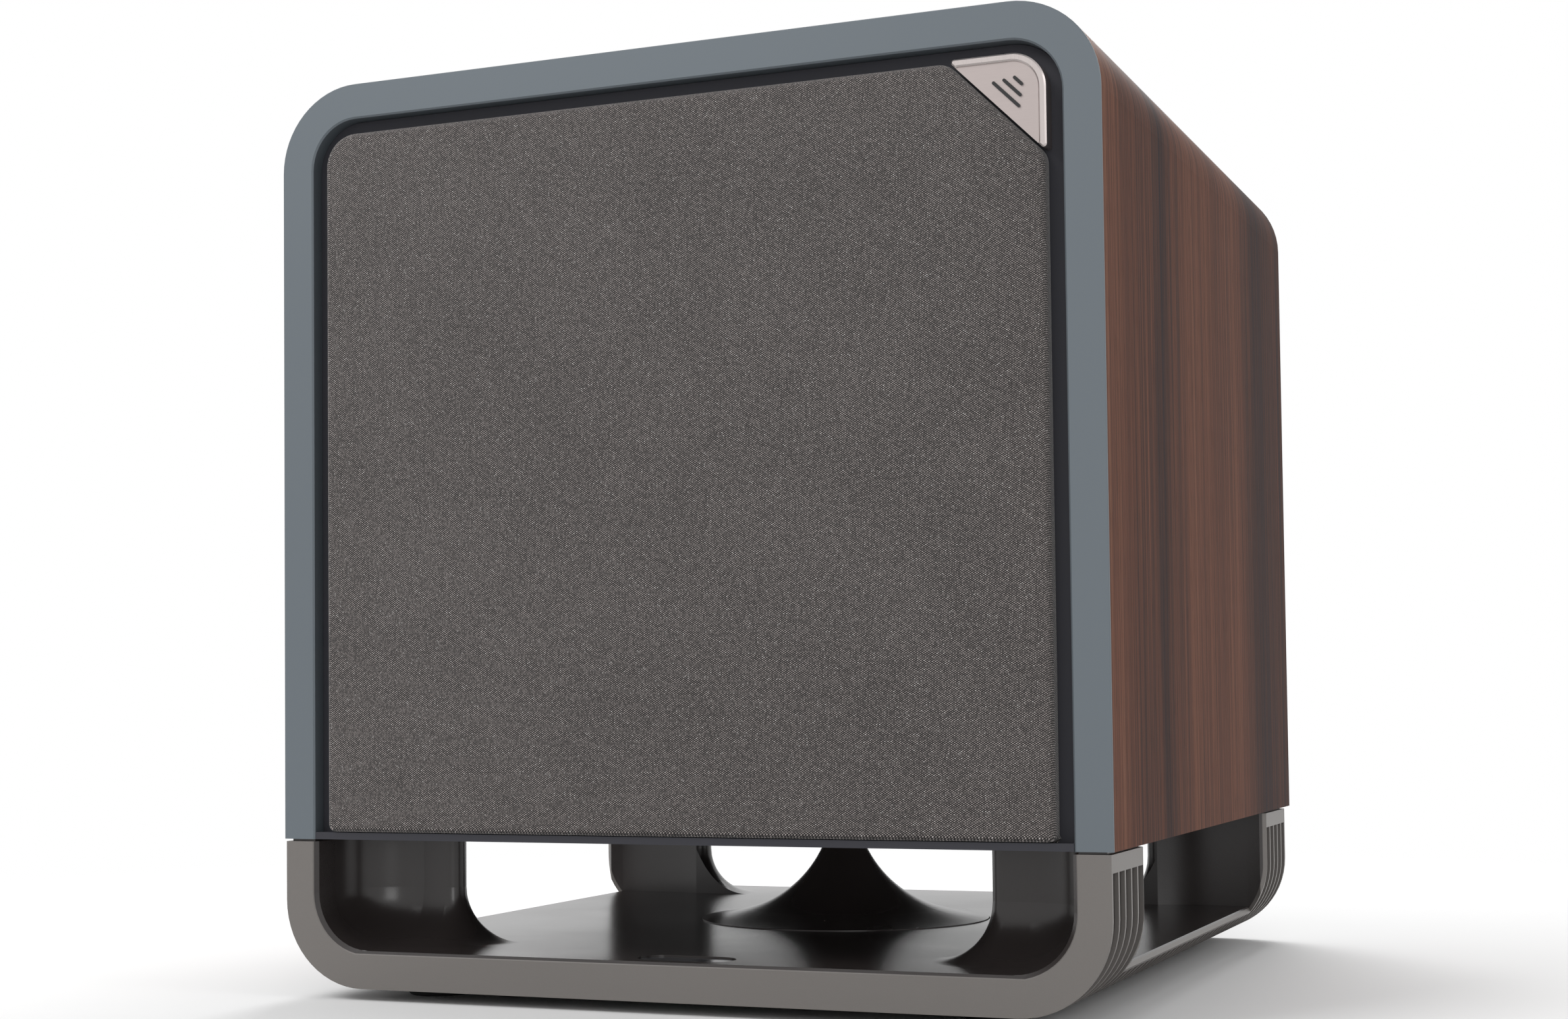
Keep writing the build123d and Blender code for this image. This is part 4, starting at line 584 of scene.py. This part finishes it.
def finishes() -> dict:
    """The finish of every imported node, by the node's name."""
    ring = middle("transformer")
    knobs = {name: Pointer(name + "_plastic", (0.012, 0.012, 0.012), 0.40, 0.3 * MM, knob=name)
             for name in ("volume_knob", "low_pass_knob")}
    return {
        "cabinet_wrap": Veneer("walnut_veneer"),
        "front_baffle": BLACK_BOARD,
        "rear_panel": Moulded("rear_panel_vinyl", (0.013, 0.013, 0.013), 0.55, 0.9 * MM, 0.08 * MM),
        "bottom_panel": BLACK_BOARD,
        "cabinet_brace": BARE_BOARD,
        "front_bezel": FlakePaint("bezel_paint"),
        "recess_panel": Moulded("recess_plastic", (0.0235, 0.0245, 0.031), 0.46, 0.5 * MM, 0.04 * MM, 0.3),
        "grille_sockets": FOOT_RUBBER,
        "grille_frame": SATIN_BLACK,
        "badge_plate": Brushed("badge_satin_metal", (0.40, 0.350, 0.338), 0.42, Axis.ACROSS, 0.12 * MM),
        "badge_trim": Emblem(
            "badge_bright_metal", (0.52, 0.47, 0.455), 0.30, Axis.UP, 0.4 * MM, tarnish=0.04
        ),
        "woofer_basket": POWDER_COAT,
        "woofer_gasket": FOAM,
        "woofer_surround": Moulded("surround_rubber", (0.010, 0.010, 0.010), 0.52, 0.5 * MM, 0.02 * MM),
        "woofer_cone": CONE_COAT,
        "dust_cap": CONE_COAT,
        "coil_former": Brushed("former_foil", (0.7, 0.7, 0.72), 0.25, Axis.DEEP),
        "coil_winding": Wound("coil_winding"),
        "spider": Moulded("spider_cloth", (0.30, 0.13, 0.03), 0.8, 0.6 * MM, 0.15 * MM, 0.3),
        "top_plate": STEEL,
        "magnet": Moulded("ferrite", (0.030, 0.030, 0.033), 0.55, 0.8 * MM, 0.06 * MM, 0.25, 0.3),
        "pole_yoke": STEEL,
        "woofer_terminals": Brushed("terminal_metal", (0.6, 0.52, 0.38), 0.3, Axis.UP),
        "woofer_screws": BLACK_SCREW,
        "port_tube": Moulded("port_plastic", (0.010, 0.010, 0.011), 0.5, 0.7 * MM, 0.05 * MM),
        "port_screws": BLACK_SCREW,
        "base_frame": TwoTone("base_two_tone"),
        "status_light_lens": Clear("smoked_lens", (0.10, 0.10, 0.11), 0.12, 0.55),
        "status_light_board": Circuit("circuit_board"),
        "port_diffuser": Moulded("diffuser_satin", (0.060, 0.050, 0.049), 0.25, 0.55 * MM, 0.012 * MM, 0.18),
        "diffuser_screws": BLACK_SCREW,
        "base_screws": BLACK_SCREW,
        "feet": FOOT_RUBBER,
        "feet_screws": STEEL,
        "amp_plate": POWDER_COAT,
        "amp_gasket": FOAM,
        "amp_screws": BLACK_SCREW,
        "heatsink": Brushed("black_anodised", (0.035, 0.035, 0.038), 0.38, Axis.UP, 0.3 * MM),
        "amp_board": Circuit("circuit_board"),
        "board_hardware": STEEL,
        "transformer": Taped("transformer_tape", centre=(ring.x, ring.z)),
        "transformer_clamp": STEEL,
        "amp_components": GLOSS_BLACK,
        "volume_pot": STEEL,
        "low_pass_pot": STEEL,
        "volume_knob": knobs["volume_knob"],
        "low_pass_knob": knobs["low_pass_knob"],
        "jack_block": GLOSS_BLACK,
        "jack_contacts": Brushed("jack_gold", (0.83, 0.58, 0.22), 0.2, Axis.DEEP),
        "slide_switch_bodies": SATIN_BLACK,
        "mode_switch_lever": SATIN_BLACK,
        "phase_switch_lever": SATIN_BLACK,
        "rocker_frame": SATIN_BLACK,
        "mains_rocker": GLOSS_BLACK,
        "mains_inlet": SATIN_BLACK,
        "inlet_contacts": Brushed("contact_metal", (0.75, 0.72, 0.65), 0.22, Axis.DEEP),
        "fuse_drawer": SATIN_BLACK,
        "fuse": Clear("fuse_glass"),
    }


# ------------------------------------------------------------------ studio
@dataclass
class Studio:
    """Camera, pale floor and soft light.

    The eye is given from the middle of the base's front lower edge, across, deep and up.
    """

    eye: Tuple[float, float, float] = (0.394, -0.884, 0.1224)
    turn: float = 23.26
    tilt: float = 2.47
    roll: float = 0.56
    lens: float = 55.2
    shift: Tuple[float, float] = (0.0546, 0.0532)
    floor_size: float = 12.0
    floor_edge: float = 0.85
    room_light: float = 0.5

    def camera(self) -> bpy.types.Object:
        """Put the camera at the viewing angle."""
        data = bpy.data.cameras.new("camera")
        data.lens = self.lens
        data.sensor_width = 36.0
        data.shift_x, data.shift_y = self.shift
        item = bpy.data.objects.new("camera", data)
        bpy.context.scene.collection.objects.link(item)
        start = Vector((0.0, low("front_bezel").y, low("base_frame").z))
        turned = (
            Matrix.Rotation(math.radians(self.turn), 4, "Z")
            @ Matrix.Rotation(math.radians(90 + self.tilt), 4, "X")
            @ Matrix.Rotation(math.radians(-self.roll), 4, "Z")
        )
        item.matrix_world = Matrix.Translation(start + Vector(self.eye)) @ turned
        bpy.context.scene.camera = item
        return item

    def lamp(self, name: str, at: Sequence[float], aim: Sequence[float], size: float, power: float) -> None:
        """A square soft light.

        Args:
            name: the light's name.
            at: where it hangs.
            aim: what it points at.
            size: its edge length.
            power: in watts.
        """
        data = bpy.data.lights.new(name, "AREA")
        data.size = size
        data.energy = power
        item = bpy.data.objects.new(name, data)
        item.location = at
        item.rotation_euler = (Vector(aim) - Vector(at)).to_track_quat("-Z", "Y").to_euler()
        bpy.context.scene.collection.objects.link(item)

    def floor(self) -> None:
        """A plain pale floor, which fades out far from the object and doesn't hide it from below."""
        bpy.ops.mesh.primitive_plane_add(size=self.floor_size)
        plane = bpy.context.object
        plane.name = "studio_floor"
        g = Graph("studio_floor")
        g.set(Base_Color=(0.92, 0.92, 0.92), Roughness=0.9, Specular_IOR_Level=0.1)
        away = g.put("ShaderNodeVectorMath", {0: g.place}, operation="LENGTH").outputs["Value"]
        fade = g.step(away, self.floor_edge * 0.4, self.floor_edge)
        below = g.put("ShaderNodeNewGeometry", {}).outputs["Backfacing"]
        g.set(Alpha=g.calc("SUBTRACT", 1.0, g.calc("MAXIMUM", fade, below)))
        plane.data.materials.append(g.material)

    def surroundings(self) -> bpy.types.World:
        """A white room, which lights the object less than it shows in view and in reflections."""
        world = bpy.data.worlds.new("surroundings")
        world.use_nodes = True
        tree = world.node_tree
        back = tree.nodes["Background"]
        back.inputs["Color"].default_value = (1.0, 1.0, 1.0, 1.0)
        path = tree.nodes.new("ShaderNodeLightPath")
        level = tree.nodes.new("ShaderNodeMapRange")
        level.inputs["To Min"].default_value = self.room_light
        level.inputs["To Max"].default_value = 1.0
        seen = tree.nodes.new("ShaderNodeMath")
        seen.operation = "MAXIMUM"
        tree.links.new(path.outputs["Is Camera Ray"], seen.inputs[0])
        tree.links.new(path.outputs["Is Glossy Ray"], seen.inputs[1])
        tree.links.new(seen.outputs[0], level.inputs["Value"])
        tree.links.new(level.outputs[0], back.inputs["Strength"])
        return world

    def build(self) -> None:
        """Camera first, then the floor, the lights and the pale surroundings."""
        self.camera()
        self.floor()
        self.lamp("key", (-1.1, -1.5, 1.9), (0, -0.15, 0.2), 1.2, 24)
        self.lamp("side", (2.0, -0.3, 1.2), (0.1, 0.0, 0.15), 0.9, 5)
        self.lamp("top_back", (-0.2, 1.3, 1.5), (0, 0, 0.2), 1.2, 26)
        self.lamp("low_front", (0.9, -1.9, 0.5), (0, -0.1, 0.1), 0.7, 4)
        scene = bpy.context.scene
        scene.world = self.surroundings()
        scene.view_settings.view_transform = "Standard"


# ------------------------------------------------------------------ modelling by hand
def pick(piece: bpy.types.Object) -> None:
    """Select one piece alone, with nothing in it selected."""
    bpy.ops.object.select_all(action="DESELECT")
    bpy.context.view_layer.objects.active = piece
    piece.select_set(True)


class Bench:
    """One piece in edit mode, whose parts are selected by a test on their place."""

    def __init__(self, piece: bpy.types.Object) -> None:
        """Open a piece for modelling.

        Args:
            piece: the mesh object.
        """
        self.piece = piece

    def choose(self, kind: str, test: Callable[[Vector], bool]) -> int:
        """Select the vertices, edges or faces whose middle passes a test.

        Args:
            kind: VERT, EDGE or FACE.
            test: takes the middle of each, in the row frame.

        Returns:
            How many are selected.
        """
        pick(self.piece)
        mesh = self.piece.data
        bpy.ops.object.mode_set(mode="EDIT")
        bpy.ops.mesh.select_mode(type=kind)
        bpy.ops.mesh.select_all(action="DESELECT")
        bpy.ops.object.mode_set(mode="OBJECT")
        items = {"VERT": mesh.vertices, "EDGE": mesh.edges, "FACE": mesh.polygons}[kind]
        count = 0
        for item in items:
            if kind == "VERT":
                centre = item.co
            else:
                corners = [mesh.vertices[i].co for i in item.vertices]
                centre = sum(corners, Vector()) / len(corners)
            item.select = bool(test(centre))
            count += item.select
        bpy.ops.object.mode_set(mode="EDIT")
        return count

    def close(self) -> None:
        """Back to object mode, with the place and turn of the piece in its mesh."""
        bpy.ops.object.mode_set(mode="OBJECT")
        bpy.ops.object.transform_apply(location=True, rotation=True, scale=True)


def apply_modifier(piece: bpy.types.Object, kind: str, **settings: object) -> None:
    """Add a modifier and apply it."""
    pick(piece)
    modifier = piece.modifiers.new(kind.lower(), kind)
    for key, value in settings.items():
        setattr(modifier, key, value)
    bpy.ops.object.modifier_apply(modifier=modifier.name)


def dress(piece: bpy.types.Object, finish: Finish, body: str) -> None:
    """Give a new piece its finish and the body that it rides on."""
    piece.data.materials.clear()
    piece.data.materials.append(finish.material())
    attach(piece, body)
    log.info("%s rides on %s", piece.name, body)


# ------------------------------------------------------------------ sub-assemblies
@dataclass
class PackedParts:
    """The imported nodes, which only take finishes."""

    skipped: Tuple[str, ...] = ("grille_cloth", "damping_pads")

    def dress(self) -> None:
        """Give every shown node its finish."""
        chart = finishes()
        for name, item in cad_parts.items():
            if name in self.skipped:
                continue
            item.data.materials.clear()
            item.data.materials.append(chart[name].material())
            log.info("finished %s", name)


@dataclass
class Cloth:
    """The grille cloth: one sheet, stretched over the frame and turned in behind it."""

    thickness: float = 0.8 * MM
    edge: float = 2.6 * MM
    hem: float = 10.0 * MM
    cut: float = 38.4 * MM
    corner: float = 14.0 * MM
    small: float = 3.0 * MM

    def build(self) -> bpy.types.Object:
        """Model the sheet on the space that its plain solid holds."""
        lo, hi = low("grille_cloth"), high("grille_cloth")
        centre = (lo + hi) / 2
        bpy.ops.object.select_all(action="DESELECT")
        bpy.ops.mesh.primitive_plane_add(size=1.0, location=(0, lo.y, centre.z), rotation=(math.pi / 2, 0, 0))
        piece = bpy.context.object
        piece.name = "grille_cloth_sheet"
        piece.scale = (hi.x - lo.x, hi.z - lo.z, 1.0)
        bench = Bench(piece)
        bench.close()
        bench.choose("FACE", lambda c: True)
        middle_of_cut = Vector((hi.x - self.cut / 2, lo.y, hi.z - self.cut / 2))
        bpy.ops.mesh.bisect(plane_co=middle_of_cut, plane_no=(1, 0, 1), clear_outer=True)
        bench.close()
        bench.choose("VERT", lambda c: c.x < 0 and c.z > centre.z)
        bpy.ops.mesh.bevel(offset=self.corner, offset_type="OFFSET", segments=10, affect="VERTICES")
        bench.close()
        bench.choose("VERT", lambda c: c.z < centre.z or c.x > hi.x - self.cut - MM)
        bpy.ops.mesh.bevel(offset=self.small, offset_type="OFFSET", segments=3, affect="VERTICES")
        bench.close()
        depth = hi.y - lo.y
        bench.choose("FACE", lambda c: True)
        bpy.ops.mesh.extrude_region_move(TRANSFORM_OT_translate={"value": (0, depth, 0)})
        bench.close()
        bench.choose("FACE", lambda c: c.y > hi.y - 0.1 * MM)
        bpy.ops.mesh.inset(thickness=self.hem, depth=0)
        bpy.ops.mesh.delete(type="FACE")
        bench.close()
        bench.choose("EDGE", lambda c: c.y < lo.y + 0.1 * MM)
        bpy.ops.mesh.bevel(offset=self.edge, segments=5, affect="EDGES")
        bench.close()
        bench.choose("EDGE", lambda c: c.y > hi.y - 0.1 * MM and self.on_rim(c, lo, hi))
        bpy.ops.mesh.bevel(offset=0.8 * MM, segments=2, affect="EDGES")
        bpy.ops.mesh.select_all(action="SELECT")
        bpy.ops.mesh.normals_make_consistent(inside=False)
        bench.close()
        apply_modifier(piece, "SOLIDIFY", thickness=self.thickness, offset=-1.0)
        pick(piece)
        bpy.ops.object.shade_smooth_by_angle(angle=math.radians(40))
        dress(piece, GrilleCloth("grille_cloth_weave"), "grille")
        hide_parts("grille_cloth")
        return piece

    @staticmethod
    def on_rim(c: Vector, lo: Vector, hi: Vector) -> bool:
        """Whether a point lies on the sheet's outer edge."""
        near = 1.0 * MM
        diagonal = (hi.x - c.x) + (hi.z - c.z) < 45 * MM
        return c.x < lo.x + near or c.x > hi.x - near or c.z < lo.z + near or c.z > hi.z - near or diagonal


@dataclass
class DialScale:
    """Tick marks printed round one knob of the amplifier."""

    knob: str
    body: str = "cabinet"
    ticks: int = 11
    sweep: float = 150.0
    gap: float = 2.6 * MM
    ink: float = 0.12 * MM
    finish: Finish = Moulded("scale_ink", (0.75, 0.75, 0.73), 0.55, 0.3 * MM, 0.004 * MM, 0.05)

    def build(self) -> bpy.types.Object:
        """One thin bar for each tick, longer at both ends, joined into one piece."""
        centre, back = middle(self.knob), high("amp_plate").y
        reach = (high(self.knob).x - low(self.knob).x) / 2 + self.gap
        bars = []
        for index in range(self.ticks):
            turn = math.radians(self.sweep * (2 * index / (self.ticks - 1) - 1))
            length = (2.6 if index in (0, self.ticks - 1) else 1.7) * MM
            way = Vector((math.sin(turn), 0.0, math.cos(turn)))
            place = Vector((centre.x, back + self.ink / 2, centre.z)) + way * (reach + length / 2)
            bpy.ops.object.select_all(action="DESELECT")
            bpy.ops.mesh.primitive_cube_add(size=1.0, location=place, rotation=(0, turn, 0))
            bpy.context.object.scale = (0.5 * MM, self.ink, length)
            bars.append(bpy.context.object)
        for bar in bars:
            bar.select_set(True)
        bpy.ops.object.transform_apply(location=False, rotation=False, scale=True)
        bpy.ops.object.join()
        piece = bpy.context.object
        piece.name = self.knob + "_scale"
        bpy.ops.object.transform_apply(location=True, rotation=True, scale=True)
        dress(piece, self.finish, self.body)
        return piece


@dataclass
class DampingPads:
    """Two felt pads glued to the inner sides of the cabinet."""

    edge: float = 5.0 * MM
    cuts: int = 14
    puff: float = 1.6 * MM

    def build(self) -> bpy.types.Object:
        """A soft slab for each side, in the room that the plain solids hold."""
        lo, hi = low("damping_pads"), high("damping_pads")
        thick = 12.0 * MM
        pads = []
        for near, far in ((lo.x, lo.x + thick), (hi.x - thick, hi.x)):
            bpy.ops.object.select_all(action="DESELECT")
            centre = ((near + far) / 2, (lo.y + hi.y) / 2, (lo.z + hi.z) / 2)
            bpy.ops.mesh.primitive_cube_add(size=1.0, location=centre)
            pad = bpy.context.object
            pad.scale = (thick - self.puff, hi.y - lo.y - self.puff, hi.z - lo.z - self.puff)
            bpy.ops.object.transform_apply(location=True, rotation=True, scale=True)
            bpy.ops.object.mode_set(mode="EDIT")
            bpy.ops.mesh.select_all(action="SELECT")
            bpy.ops.mesh.bevel(offset=self.edge, segments=3, affect="EDGES")
            bpy.ops.mesh.select_all(action="SELECT")
            bpy.ops.mesh.subdivide(number_cuts=self.cuts)
            bpy.ops.object.mode_set(mode="OBJECT")
            pads.append(pad)
        for pad in pads:
            pad.select_set(True)
        bpy.ops.object.join()
        piece = bpy.context.object
        piece.name = "damping_felt"
        clouds = bpy.data.textures.new("felt_lumps", "CLOUDS")
        clouds.noise_scale = 30 * MM
        apply_modifier(
            piece, "DISPLACE", texture=clouds, strength=self.puff, mid_level=0.5, texture_coords="GLOBAL"
        )
        bpy.ops.object.shade_smooth_by_angle(angle=math.radians(60))
        dress(piece, Felt("damping_felt"), "cabinet")
        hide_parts("damping_pads")
        return piece


def main() -> None:
    """Build everything in order."""
    logging.basicConfig(level=logging.INFO, format="%(name)s: %(message)s")
    Studio().build()
    PackedParts().dress()
    Cloth().build()
    DampingPads().build()
    for knob in ("volume_knob", "low_pass_knob"):
        DialScale(knob).build()


if __name__ == "__main__":
    main()
